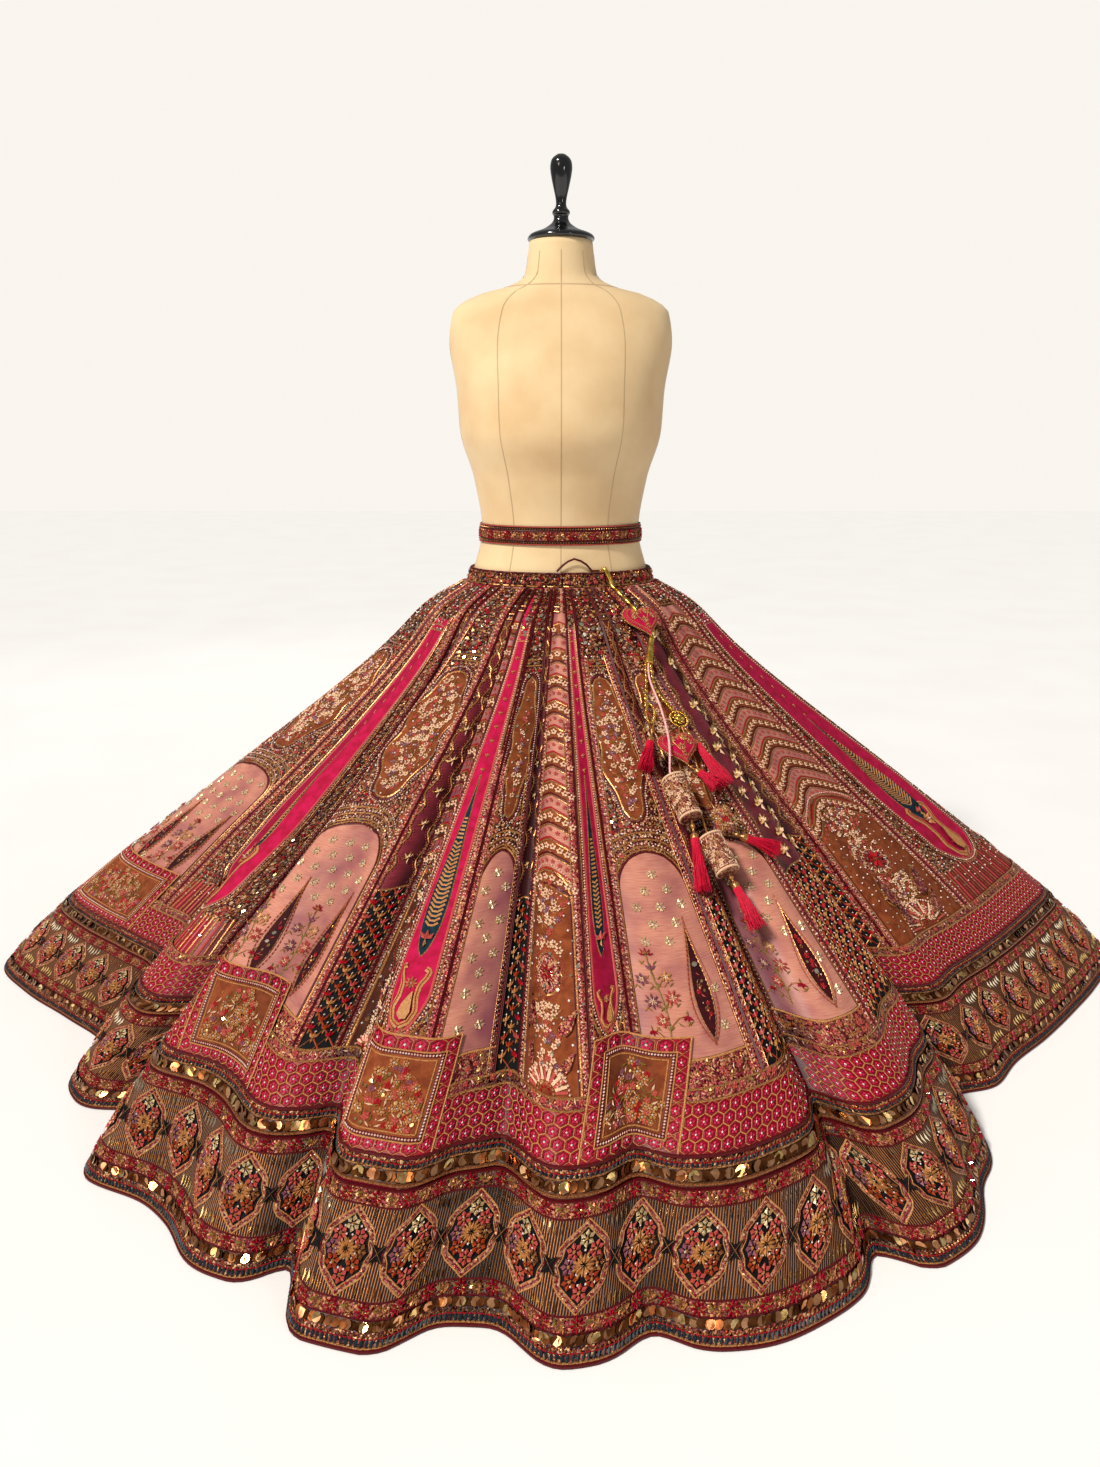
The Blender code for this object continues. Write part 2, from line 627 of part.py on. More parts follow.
def make_drawstring():
    """Comes out of the casing in front, stands up in a loop and runs to the gold bar."""
    lift = CASING_TOP_Z + SEAM_GAP + DRAWSTRING_RADIUS
    front = -(form_radius(0, CASING_TOP_Z) + DRAWSTRING_FRONT)
    points = [Vector((across, front + back, lift + up)) for across, back, up in DRAWSTRING_LOOP]
    points += [polar(azimuth, form_radius(azimuth, CASING_TOP_Z) + DRAWSTRING_BESIDE, lift)
               for azimuth in DRAWSTRING_AZIMUTHS]
    cord("drawstring", points, DRAWSTRING_RADIUS, "maroon_satin")
    return points[-1], (points[-1] - points[-2]).normalized()


def make_bar(cord_end, heading, seat, up):
    """The gold tube that ends the drawstring, and the beads under it, down to the heart's notch."""
    top = cord_end + heading * SEAM_GAP
    entry = seat + up * BAR_ENTRY
    last = rest_point(*BAR_LAST)
    bend = [polar(azimuth, form_radius(azimuth, CASING_TOP_Z) + offset, CASING_TOP_Z + rise)
            for azimuth, offset, rise in BAR_BEND]
    beads = [last.lerp(entry, share) for share in BAR_BEADS]
    points = [top, top + heading * 0.002, *bend, last, *beads, entry, seat]
    tube_solid("latkan_bar", points, BAR_RADII, "gold_metal")


def make_latkans():
    tip_1, seat_1, up = heart("heart_1", "fuchsia_velvet")
    make_bar(*make_drawstring(), seat_1, up)
    cap_start = tip_1 - up * SEAM_GAP
    cap_end = rest_point(*CAP_END)
    cap_length = (cap_end - cap_start).length
    cap = ((0.0020, 0.0), (0.0045, 0.003), (0.0038, 0.010), (0.0060, cap_length - 0.006), (0.0066, cap_length))
    turned("latkan_cap", cap, "gold_metal", sides=10, turn=axis_matrix(cap_start, cap_end))
    fall = (cap_end - cap_start).normalized()
    side = fall.cross(rest_frame(*CAP_END[:2])[2]).normalized()
    roots = [cap_end + fall * SEAM_GAP + side * shift for shift in (STRING_SPREAD, 0.0, -STRING_SPREAD)]
    steps = [root + fall * STRING_STEP for root in roots]

    ring_left = gold_ring("ring_left", 0)
    ring_right = gold_ring("ring_right", 2)
    low_a = spot("strand_a_low")
    cord("strand_a", [roots[0], steps[0], spot("strand_a"), low_a, off_ring(ring_left, low_a)],
         CORD_RADIUS, "gold_metal")
    tassel("tassel_f", off_ring(ring_left, spot("tassel_f")), spot("tassel_f"), neck_length=0.022)

    drum_top, drum_end = spot("drum_1_top"), spot("drum_1_end")
    entry = (drum_end - drum_top).normalized()
    cord("strand_b", [roots[1], steps[1], spot("strand_b"), spot("strand_b_mid"), spot("strand_b_low"),
                      drum_top - entry * 0.008, drum_top - entry * SEAM_GAP], CORD_RADIUS, "pink_silk")
    drum("drum_1", drum_top, drum_end, DRUM_RADIUS)
    tassel("tassel_c", off_face(drum_end, entry, spot("tassel_c")), spot("tassel_c"), neck_length=0.020)

    place_c = spot("strand_c")
    cord("strand_c", [roots[2], steps[2], place_c, off_ring(ring_right, place_c)], CORD_RADIUS, "gold_metal")
    tassel("tassel_a", off_ring(ring_right, spot("tassel_a")), spot("tassel_a"), neck_length=0.024)

    tip_2, _, up = heart("heart_2", "fuchsia_velvet")
    tassel("tassel_e", off_face(tip_2, -up, spot("tassel_e")), spot("tassel_e"), neck_length=0.010)
    for number, piece, maker, radius in (("d", "drum_2", drum, (DRUM_RADIUS,)), ("e", "bulb", bulb, ())):
        top, end = spot(f"{piece}_top"), spot(f"{piece}_end")
        entry = (end - top).normalized()
        high, low = spot(f"strand_{number}"), spot(f"strand_{number}_low")
        cord(f"strand_{number}", [off_ring(ring_right, high), high, low, top - entry * 0.008,
                                  top - entry * SEAM_GAP], CORD_RADIUS, "gold_metal")
        maker(piece, top, end, *radius)
        tail = "tassel_d" if piece == "drum_2" else "tassel_b"
        tassel(tail, off_face(end, entry, spot(tail)), spot(tail), neck_length=0.012)


def main():
    clear_scene()
    make_form()
    make_finial()
    make_stand()
    make_panels()
    make_border()
    make_casing()
    make_belt()
    make_latkans()


main()
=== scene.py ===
"""Looks of a lehenga skirt on its dress form: draped cloth, laid embroidery, belt, latkans, stand, light.

Azimuths are degrees from the front (-Y) towards +X. A level is the share of the drop from waist to hem.
Embroidery is drawn flat, in metres across and down a piece of cloth, and then laid on that piece. A lift
is how far off the cloth a patch, thread or bead lies, counted in layers.
"""
import functools
import json
import math

import bmesh
import bpy
import numpy as np
from mathutils import Matrix, Vector

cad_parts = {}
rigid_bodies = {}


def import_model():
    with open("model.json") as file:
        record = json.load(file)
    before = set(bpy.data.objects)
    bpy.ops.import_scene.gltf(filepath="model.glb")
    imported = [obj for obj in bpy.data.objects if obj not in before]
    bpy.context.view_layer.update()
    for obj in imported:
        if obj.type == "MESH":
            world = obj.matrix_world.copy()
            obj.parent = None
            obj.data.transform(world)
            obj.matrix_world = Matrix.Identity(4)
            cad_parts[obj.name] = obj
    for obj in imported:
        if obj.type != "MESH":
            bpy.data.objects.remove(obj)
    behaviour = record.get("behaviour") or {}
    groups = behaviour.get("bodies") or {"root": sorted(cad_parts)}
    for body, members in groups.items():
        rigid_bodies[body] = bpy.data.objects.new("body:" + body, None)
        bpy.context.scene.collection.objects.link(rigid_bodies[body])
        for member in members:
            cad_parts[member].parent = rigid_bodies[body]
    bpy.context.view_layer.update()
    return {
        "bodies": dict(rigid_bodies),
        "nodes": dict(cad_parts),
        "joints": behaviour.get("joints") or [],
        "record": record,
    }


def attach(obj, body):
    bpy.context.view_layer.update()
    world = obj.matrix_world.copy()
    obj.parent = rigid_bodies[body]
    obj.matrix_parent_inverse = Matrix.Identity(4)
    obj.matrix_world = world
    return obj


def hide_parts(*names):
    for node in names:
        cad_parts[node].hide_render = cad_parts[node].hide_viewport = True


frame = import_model()

# ---------------------------------------------------------------- sizes shared with the solids
SEAM_GAP = 0.0003
FORM_CLEARANCE = 0.0003
WAIST_Z = 0.645
CASING_TOP_Z = 0.667
PANEL_TOP_OFFSET = 0.0056
BORDER_LEVEL = 0.834
FLARE_BULGE = 0.3
PUFF = 0.018
PUFF_LEVEL = 0.06
GATHERS = 60
GATHER_DEPTH = 0.004
GATHER_FADE = 0.1
BELT_Z = 0.72
BELT_HEIGHT = 0.028

# Height, half width, reach in front and at the back
FORM_SECTIONS = (
    (0.42, 0.15, 0.105, 0.11), (0.5, 0.172, 0.108, 0.125), (0.58, 0.162, 0.104, 0.112),
    (0.66, 0.136, 0.094, 0.09), (0.725, 0.121, 0.088, 0.08), (0.8, 0.132, 0.103, 0.088),
    (0.87, 0.152, 0.126, 0.095), (0.93, 0.156, 0.118, 0.1), (1.000, 0.166, 0.09, 0.096),
    (1.04, 0.16, 0.07, 0.082), (1.062, 0.128, 0.06, 0.07), (1.075, 0.078, 0.053, 0.06),
    (1.09, 0.053, 0.049, 0.053), (1.137, 0.046, 0.046, 0.046),
)
# Azimuth and hem radius of every ridge and valley
FOLDS = (
    (-88, 0.94), (-81, 0.87), (-74, 0.79), (-66, 0.735), (-59, 0.79), (-55, 0.785),
    (-50, 0.722), (-44.5, 0.832), (-37, 0.808), (-33.5, 0.815), (-28, 0.848), (-23.5, 0.843),
    (-21.5, 0.785), (-18.6, 0.884), (-12, 0.886), (-9.5, 0.838), (-4.5, 0.832), (-1.2, 0.882),
    (3.2, 0.87), (5.8, 0.836), (8.5, 0.868), (13, 0.876), (18, 0.862), (22.5, 0.838),
    (25, 0.79), (27.5, 0.85), (32, 0.846), (36, 0.82), (39, 0.79), (42.5, 0.778),
    (46.5, 0.735), (51, 0.68), (56, 0.722), (61, 0.73), (69, 0.773), (76, 0.822),
    (83, 0.885), (90, 0.948), (97, 0.9), (104, 0.8), (110, 0.745), (117, 0.83),
    (123, 0.835), (129, 0.76), (135, 0.845), (142, 0.85), (148, 0.775), (154, 0.86),
    (160, 0.872), (166, 0.79), (172, 0.872), (179, 0.88), (185, 0.8), (191, 0.868),
    (198, 0.875), (204, 0.79), (210, 0.86), (217, 0.852), (223, 0.77), (229, 0.842),
    (236, 0.835), (242, 0.752), (248, 0.84), (254, 0.862), (261, 0.88),
)
# Azimuth, half width and depth
DEEP_FOLDS = (
    (-52, 2.6, 0.034), (-24, 1.8, 0.028), (-5.5, 1.7, 0.026), (25, 2.0, 0.032), (50, 3.0, 0.036),
    (109, 3.0, 0.034), (148, 2.6, 0.03), (185, 2.4, 0.03), (223, 2.6, 0.03), (243, 2.8, 0.034),
)
PANELS_START = -92.0
# Azimuth where a panel ends, and its kind
PANELS = (
    (-73.0, "arch"), (-53.0, "cypress"), (-47.0, "plum"), (-28.0, "arch"), (-24.0, "plum"),
    (-19.7, "chevron"), (-13.0, "cypress"), (-7.0, "arch"), (-4.5, "plum"), (2.4, "chevron"),
    (7.0, "cypress"), (19.2, "arch"), (24.5, "plum"), (34.7, "arch"), (54.3, "plum"),
    (73.0, "chevron"), (92.0, "cypress"), (112.0, "arch"), (130.0, "plum"), (150.0, "chevron"),
    (168.0, "cypress"), (189.0, "arch"), (207.0, "plum"), (228.0, "chevron"), (247.0, "cypress"),
    (268.0, "plum"),
)
BORDER_ENDS = (-92.0, -50.0, 25.0, 88.0, 148.0, 208.0, 268.0)
BORDER_LENGTHS = list(enumerate(zip(BORDER_ENDS, BORDER_ENDS[1:]), 1))

# Azimuths where the rust velvet squares at the foot of the panels start and end
SQUARES = (
    (-86.5, -76.0), (-42.0, -33.0), (-18.9, -12.0), (3.0, 9.0), (94.0, 104.0), (135.0, 145.0), (170.0, 180.0),
    (210.0, 220.0), (249.0, 259.0),
)
LATKAN_REST_RADIUS = 0.864
# Where the latkans lie: azimuth, height, distance off the skirt's ridges
SPOTS = {
    "heart_1": (38.0, 0.598, 0.0105), "strand_a": (27.6, 0.523, 0.0045),
    "strand_a_low": (24.9, 0.506, 0.0065), "ring_left": (23.0, 0.484, 0.018),
    "strand_b": (27.9, 0.521, 0.015), "strand_b_mid": (26.3, 0.487, 0.02),
    "strand_b_low": (24.0, 0.452, 0.024), "drum_1_top": (21.7, 0.418, 0.018),
    "drum_1_end": (21.9, 0.377, 0.018), "strand_c": (30.0, 0.517, 0.004),
    "ring_right": (31.8, 0.481, 0.005), "heart_2": (26.8, 0.449, 0.0125),
    "strand_d": (25.6, 0.43, 0.0028), "strand_d_low": (24.9, 0.385, 0.007),
    "drum_2_top": (23.7, 0.36, 0.017), "drum_2_end": (24.0, 0.325, 0.017),
    "strand_e": (29.5, 0.424, 0.003), "strand_e_low": (27.9, 0.397, 0.006),
    "bulb_top": (27.2, 0.384, 0.016), "bulb_end": (28.0, 0.36, 0.016), "tassel_a": (33.0, 0.404, 0.011),
    "tassel_b": (35.0, 0.337, 0.01), "tassel_c": (19.6, 0.314, 0.01), "tassel_d": (25.0, 0.277, 0.01),
    "tassel_e": (29.9, 0.402, 0.022), "tassel_f": (17.2, 0.43, 0.011),
}
CORD_RADIUS = 0.0015
CORD_STEP = 2.8            # distance between a cord's points, in diameters
DRAWSTRING_RADIUS = 0.0016
HEART_SIZE = 0.056
HEART_WALL = 0.013
RING_RADIUS = 0.013
RING_WIRE = 0.0018
DRUM_RADIUS = 0.0145
BULB_RADIUS = 0.0135

COLUMN_DEG = 0.72          # width of the shells' facets
SHELL = 0.0022             # cloth shown, from its face inwards
FLOOR_GAP = 0.0004         # nothing hangs lower than this
CLOTH_LIGHT = 0.6          # place between fold valley and ridge of work that lies in no fold, so it gets a middling painted fold shade
LAYER = 0.0007             # a ground patch stands this far off the cloth
STITCH = 13 / 7            # layers under a stitch
BEAD = 17 / 7              # layers under a bead
CLOSE = 2 / 7              # layers under work on pads and on the form
FOOT_RAISE = 0.0021        # the foot band's work lies over the panels' feet, by this much more

WAIST_WORK = 0.155         # distances down the slant: the close work under the waist ends here
RAYS_TOP = 0.677           # a cypress panel's rays begin here
HONEYCOMB_TOP = 0.751
STRIP_TOP = 0.738
SQUARE_TOP = 0.681
SQUARE_INNER = (0.7005, 0.789)
BRAID_TOP = 0.8045         # the braid and the sequins on the panels' hem begin here


# ---------------------------------------------------------------- the skirt's surface
class SmoothCurve:
    """A curve through a table's rows that never overshoots between them; works on whole arrays."""

    def __init__(self, xs, ys, period=None):
        if period:
            xs = [xs[-1] - period, *xs, xs[0] + period, xs[1] + period]
            ys = [ys[-1], *ys, ys[0], ys[1]]
        self.xs, self.ys, self.period = np.array(xs, float), np.array(ys, float), period
        steps = np.diff(self.ys) / np.diff(self.xs)
        inner = [2 * a * b / (a + b) if a * b > 0 else 0.0 for a, b in zip(steps, steps[1:])]
        self.slopes = np.array([steps[0], *inner, steps[-1]])

    def __call__(self, x):
        x = np.asarray(x, float)
        if self.period:
            x = (x - self.xs[1]) % self.period + self.xs[1]
        i = np.clip(np.searchsorted(self.xs, x, side="right") - 1, 0, len(self.xs) - 2)
        width = self.xs[i + 1] - self.xs[i]
        s = (x - self.xs[i]) / width
        rise = (3 - 2 * s) * s * s
        ends = self.ys[i] * (1 - rise) + self.ys[i + 1] * rise
        return ends + width * s * (1 - s) * ((1 - s) * self.slopes[i] - s * self.slopes[i + 1])


FORM_Z = [row[0] for row in FORM_SECTIONS]
FORM_WIDTH, FORM_FRONT, FORM_BACK = (SmoothCurve(FORM_Z, reach) for reach in list(zip(*FORM_SECTIONS))[1:])
HEM_LINE = SmoothCurve(*zip(*FOLDS), period=360)


def polar(azimuth, radius, z):
    a = np.radians(azimuth)
    x, y, z = np.broadcast_arrays(radius * np.sin(a), -radius * np.cos(a), z)
    return np.stack([x, y, z], axis=-1)


def form_radius(azimuth, z):
    a = np.radians(azimuth)
    depth = np.where(np.cos(a) > 0, FORM_FRONT(z), FORM_BACK(z))
    return 1 / np.hypot(np.sin(a) / FORM_WIDTH(z), np.cos(a) / depth)


def waist_radius(azimuth):
    return form_radius(azimuth, WAIST_Z) + PANEL_TOP_OFFSET


def hem_radius(azimuth):
    """The hem's line, with its corners rounded off as lined cloth rounds them."""
    return (HEM_LINE(azimuth - 1.3) + 2 * HEM_LINE(azimuth) + HEM_LINE(azimuth + 1.3)) / 4


def cone_radius(azimuth, level, foot_radius):
    start = waist_radius(azimuth)
    flare = level + FLARE_BULGE * level ** 3 * (1 - level)
    x = level / PUFF_LEVEL
    return start + (foot_radius - start) * flare + PUFF * (x * np.exp(1 - x)) ** 2


def deep_fold(azimuth, level):
    total = 0.0
    for centre, half_width, depth in DEEP_FOLDS:
        away = (azimuth - centre + 180) % 360 - 180
        total = total + depth * np.exp(-(away / half_width) ** 2)
    return total * np.sin(math.pi * level) ** 1.5


def gather(azimuth, level):
    """Gathers under the waist, with finer crinkles between them."""
    wave = 0.5 + 0.5 * np.cos(np.radians(azimuth * GATHERS))
    crinkle = 0.25 * np.cos(np.radians(azimuth * GATHERS * 1.5 + 40 * np.sin(np.radians(azimuth * 7))))
    return GATHER_DEPTH * (wave + crinkle * np.exp(-level / 0.04)) * np.exp(-level / GATHER_FADE)


def ease(azimuth, level):
    """Slight slackness of the cloth between the folds, so that no panel is ruled."""
    slow = np.sin(np.radians(azimuth * 23) + 9 * level) * np.sin(np.radians(azimuth * 11) - 6 * level)
    return 0.0022 * slow * np.sin(math.pi * np.clip(level, 0, 1)) ** 2


def skirt_point(azimuth, level):
    azimuth, level = np.broadcast_arrays(np.asarray(azimuth, float), np.clip(level, 0.0, 1.0))
    radius = cone_radius(azimuth, level, hem_radius(azimuth)) - deep_fold(azimuth, level)
    radius = radius + gather(azimuth, level) + ease(azimuth, level)
    return polar(azimuth, radius, WAIST_Z * (1 - level))


def put(name, data):
    piece = bpy.data.objects.new(name, data)
    bpy.context.scene.collection.objects.link(piece)
    return piece


def along_line(points):
    """Distance of each point of a line from its first."""
    return np.concatenate([[0], np.cumsum(np.linalg.norm(np.diff(points, axis=0), axis=1))])


def unit(vectors):
    return vectors / np.maximum(np.linalg.norm(vectors, axis=-1, keepdims=True), 1e-12)


def fold_height(azimuth, level):
    """0 in a fold's valley and 1 on its ridge."""
    rise = hem_radius(azimuth) - (hem_radius(azimuth - 4.5) + hem_radius(azimuth + 4.5)) / 2
    rise = (rise * level - 1.2 * deep_fold(azimuth, level)) / 0.09 + 0.5
    wave = np.cos(np.radians(azimuth * GATHERS)) * np.exp(-level / GATHER_FADE) * 0.35
    return np.clip(rise + wave, 0, 1)


def between(grid, row, column):
    """A grid's values at fractional rows and columns."""
    i, j = (np.minimum(place.astype(int), size - 2) for place, size in zip((row, column), grid.shape))
    a, b = row - i, column - j
    if grid.ndim == 3:
        a, b = a[:, None], b[:, None]
    upper = grid[i, j] * (1 - b) + grid[i, j + 1] * b
    lower = grid[i + 1, j] * (1 - b) + grid[i + 1, j + 1] * b
    return upper * (1 - a) + lower * a


class Cloth:
    """A grid of points on cloth. A place on it is metres across from its middle and metres down."""

    SHARES = np.linspace(0, 1, 129)

    def __init__(self, points, folds, downs=None):
        self.points, self.folds = points, folds
        self.normals = unit(np.cross(np.gradient(points, axis=0), np.gradient(points, axis=1)))
        widths = self.across = np.array([along_line(row) for row in points])
        self.widths = widths[:, -1]
        stops = np.arange(points.shape[1])
        self.columns = np.array([np.interp(self.SHARES * row[-1], row, stops) for row in widths])
        if downs is None:
            downs = along_line(points[:, points.shape[1] // 2])
        self.downs, self.length = downs, downs[-1]

    def half(self, y):
        return np.interp(y, self.downs, self.widths) / 2

    def place(self, x, y):
        """Row and column, as fractions, of a place on the cloth."""
        row = np.interp(y, self.downs, np.arange(len(self.downs)))
        share = np.clip(x / self.half(y) / 2 + 0.5, 0, 1) * (len(self.SHARES) - 1)
        return row, between(self.columns, row, share)

    def read(self, grid, x, y):
        return between(grid, *self.place(x, y))

    def at(self, x, y, lift):
        return self.read(self.points, x, y) + self.read(self.normals, x, y) * lift[:, None]


PANEL_LEVELS = BORDER_LEVEL * np.linspace(0, 1, 48) ** 1.15
BORDER_LEVELS = np.linspace(BORDER_LEVEL, 1, 15)
SLANT_LEVELS = np.linspace(0, 1, 401)
SLANT_LINE = polar(0, cone_radius(0.0, SLANT_LEVELS, 0.84), WAIST_Z * (1 - SLANT_LEVELS))
SLANTS = along_line(SLANT_LINE)


def skirt_cloth(start, end, levels):
    turns = np.linspace(start, end, max(5, round((end - start) / COLUMN_DEG)) + 1)
    across, down = np.meshgrid(turns, levels)
    downs = np.interp(levels, SLANT_LEVELS, SLANTS)
    return Cloth(skirt_point(across, down), fold_height(across, down), downs - downs[0])


def hoop_cloth(top_z, bottom_z, offset, rows, columns, wave=lambda turn, share: 0):
    """Cloth all round the form; its middle is in front."""
    turns, shares = np.meshgrid(np.linspace(-180, 180, columns + 1), np.linspace(0, 1, rows + 1))
    z = top_z + (bottom_z - top_z) * shares
    rise = wave(turns, shares)
    return Cloth(polar(turns, form_radius(turns, z) + offset + rise, z), np.full(z.shape, CLOTH_LIGHT))


# ---------------------------------------------------------------- stitched motifs, drawn flat
def as_arrays(bm):
    """Points and triangles of a small mesh."""
    bm.verts.index_update()
    points = np.array([vert.co[:] for vert in bm.verts])
    faces = np.array([[loop.vert.index for loop in tri] for tri in bm.calc_loop_triangles()])
    bm.free()
    return points, faces


def petals(count, inner, tip, width, rise=0.25, spread=360.0):
    """Leaf shapes spun about the middle from a squashed circle of four points; each has a raised rib."""
    bm = bmesh.new()
    bmesh.ops.create_circle(bm, cap_ends=True, segments=4, radius=1)
    size = Matrix.Diagonal((width / 2, (tip - inner) / 2, 1, 1))
    bmesh.ops.transform(bm, matrix=Matrix.Translation((0, (tip + inner) / 2, 0)) @ size, verts=bm.verts)
    spine = [vert for vert in bm.verts if abs(vert.co.x) < width / 4]
    for vert in spine:
        vert.co.z = rise
    bmesh.ops.connect_verts(bm, verts=spine)
    if spread < 360:
        bmesh.ops.rotate(bm, matrix=Matrix.Rotation(math.radians(-spread / 2), 3, "Z"), verts=bm.verts)
    if count > 1:
        angle = math.radians(spread if spread < 360 else 360 - 360 / count)
        bmesh.ops.spin(bm, geom=bm.verts[:] + bm.edges[:] + bm.faces[:], axis=(0, 0, 1), angle=angle,
                       steps=count - 1, use_duplicate=True)
    return as_arrays(bm)


def dot(radius, rise, sides=4):
    """A bead or knot: an open cone."""
    bm = bmesh.new()
    bmesh.ops.create_cone(bm, cap_ends=False, segments=sides, radius1=radius, radius2=0, depth=rise)
    bmesh.ops.translate(bm, vec=(0, 0, rise / 2), verts=bm.verts)
    bmesh.ops.remove_doubles(bm, verts=bm.verts, dist=1e-5)
    return as_arrays(bm)


def ring(sides, outer, width, rise=0.0):
    """A flat band round a circle or polygon, standing up a little on its inner edge."""
    bm = bmesh.new()
    bmesh.ops.create_circle(bm, cap_ends=True, segments=sides, radius=outer)
    middle = bm.faces[:]
    bmesh.ops.inset_region(bm, faces=middle, thickness=width, depth=rise, use_boundary=True,
                           use_even_offset=True)
    bmesh.ops.delete(bm, geom=middle, context="FACES_ONLY")
    return as_arrays(bm)


def disc(sides, tilt):
    bm = bmesh.new()
    bmesh.ops.create_circle(bm, cap_ends=True, segments=sides, radius=1)
    for vert in bm.verts:
        vert.co.z = 0.15 + tilt * vert.co.y
    return as_arrays(bm)


def teardrop(sides, bend, width=0.0):
    """A paisley: a circle drawn up to a bent tip, whole or as its outline."""
    points, faces = ring(sides, 1, width) if width else disc(sides, 0)
    points = points.copy()
    up = np.clip(points[:, 1] * 0.5 + 0.5, 0, 1)
    points[:, 0] = points[:, 0] * (0.62 - 0.5 * up) + bend * up ** 2
    return points, faces


# A motif is a list of parts, each with the place of its thread among the finishes given with it
MOTIFS = {
    "bead": [(0, dot(1, 1))],
    "sequin": [(0, disc(6, 0.22))],
    "big_sequin": [(0, disc(8, 0.26))],
    "stitch": [(0, petals(1, -1, 1, 0.5, 0.3))],
    "flower": [(0, petals(5, 0.1, 1, 0.75)), (1, dot(0.26, 0.5))],
    "sprig": [(0, petals(3, 0, 1, 0.45, 0.25, 130)), (1, petals(1, -0.9, 0.1, 0.22, 0.2))],
    "rosette": [(0, petals(6, 0.24, 1, 0.62, 0.3)), (1, dot(0.26, 0.4, sides=5))],
    "star": [(0, petals(8, 0.15, 1, 0.34, 0.28)), (1, dot(0.2, 0.5))],
    "fan_leaf": [(0, petals(5, 0.12, 1, 0.32, 0.22, 150)), (1, petals(3, 0.1, 0.55, 0.3, 0.34, 90)),
                 (1, petals(1, -0.75, 0.15, 0.16, 0.2))],
    "tulip": [(0, petals(3, 0.0, 1, 0.46, 0.25, 90)), (1, petals(1, -0.8, 0.1, 0.3, 0.2))],
    "cell": [(0, ring(6, 1.0, 0.075, 0.05)), (1, ring(6, 0.8, 0.1, 0.05)),
             (3, petals(5, 0.16, 0.58, 0.4, 0.1)), (2, dot(0.17, 0.16))],
    "paisley": [(0, teardrop(9, 0.55)), (1, teardrop(9, 0.55, 0.16))],
    "tooth": [(0, petals(1, -1, 1, 0.9, 0.35))],
    "bugle": [(0, petals(1, -1, 1, 0.3, 0.3))],
}


class Shape:
    """A patch symmetrical about an upright line: half its width is a function of the share of its drop."""

    def __init__(self, middle, top, bottom, half):
        self.middle, self.top, self.bottom, self.half = middle, top, bottom, half

    def width(self, y):
        share = (y - self.top) / (self.bottom - self.top)
        return np.where((share >= 0) & (share <= 1), self.half(np.clip(share, 0, 1)), -1.0)

    def holds(self, x, y, margin):
        return abs(x - self.middle) < self.width(y) - margin

    def grown(self, margin, below=None):
        widest = np.max(self.half(np.linspace(0, 1, 41)))
        return Shape(self.middle, self.top - margin, self.bottom + (margin if below is None else below),
                     lambda t: self.half(t) * (1 + margin / widest))

    def side(self, sign, count=40):
        t = (1 - np.cos(np.linspace(0, math.pi, count))) / 2
        return np.stack([self.middle + sign * self.half(t), self.top + (self.bottom - self.top) * t], axis=1)


def walk(route, step):
    """The same route with points an even step apart."""
    route = np.asarray(route, float)
    lengths = along_line(route)
    stops = np.linspace(0, lengths[-1], max(2, round(lengths[-1] / step) + 1))
    return np.stack([np.interp(stops, lengths, route[:, 0]), np.interp(stops, lengths, route[:, 1])], axis=1)


@functools.cache
def strip_faces(rows, columns):
    """Triangles of a grid of points, from Blender's own grid."""
    bm = bmesh.new()
    bmesh.ops.create_grid(bm, x_segments=columns - 1, y_segments=rows - 1, size=0.5)
    points, faces = as_arrays(bm)
    order = np.lexsort((points[:, 0].round(5), -points[:, 1].round(5)))
    place = np.empty(len(order), int)
    place[order] = np.arange(len(order))
    return place[faces]


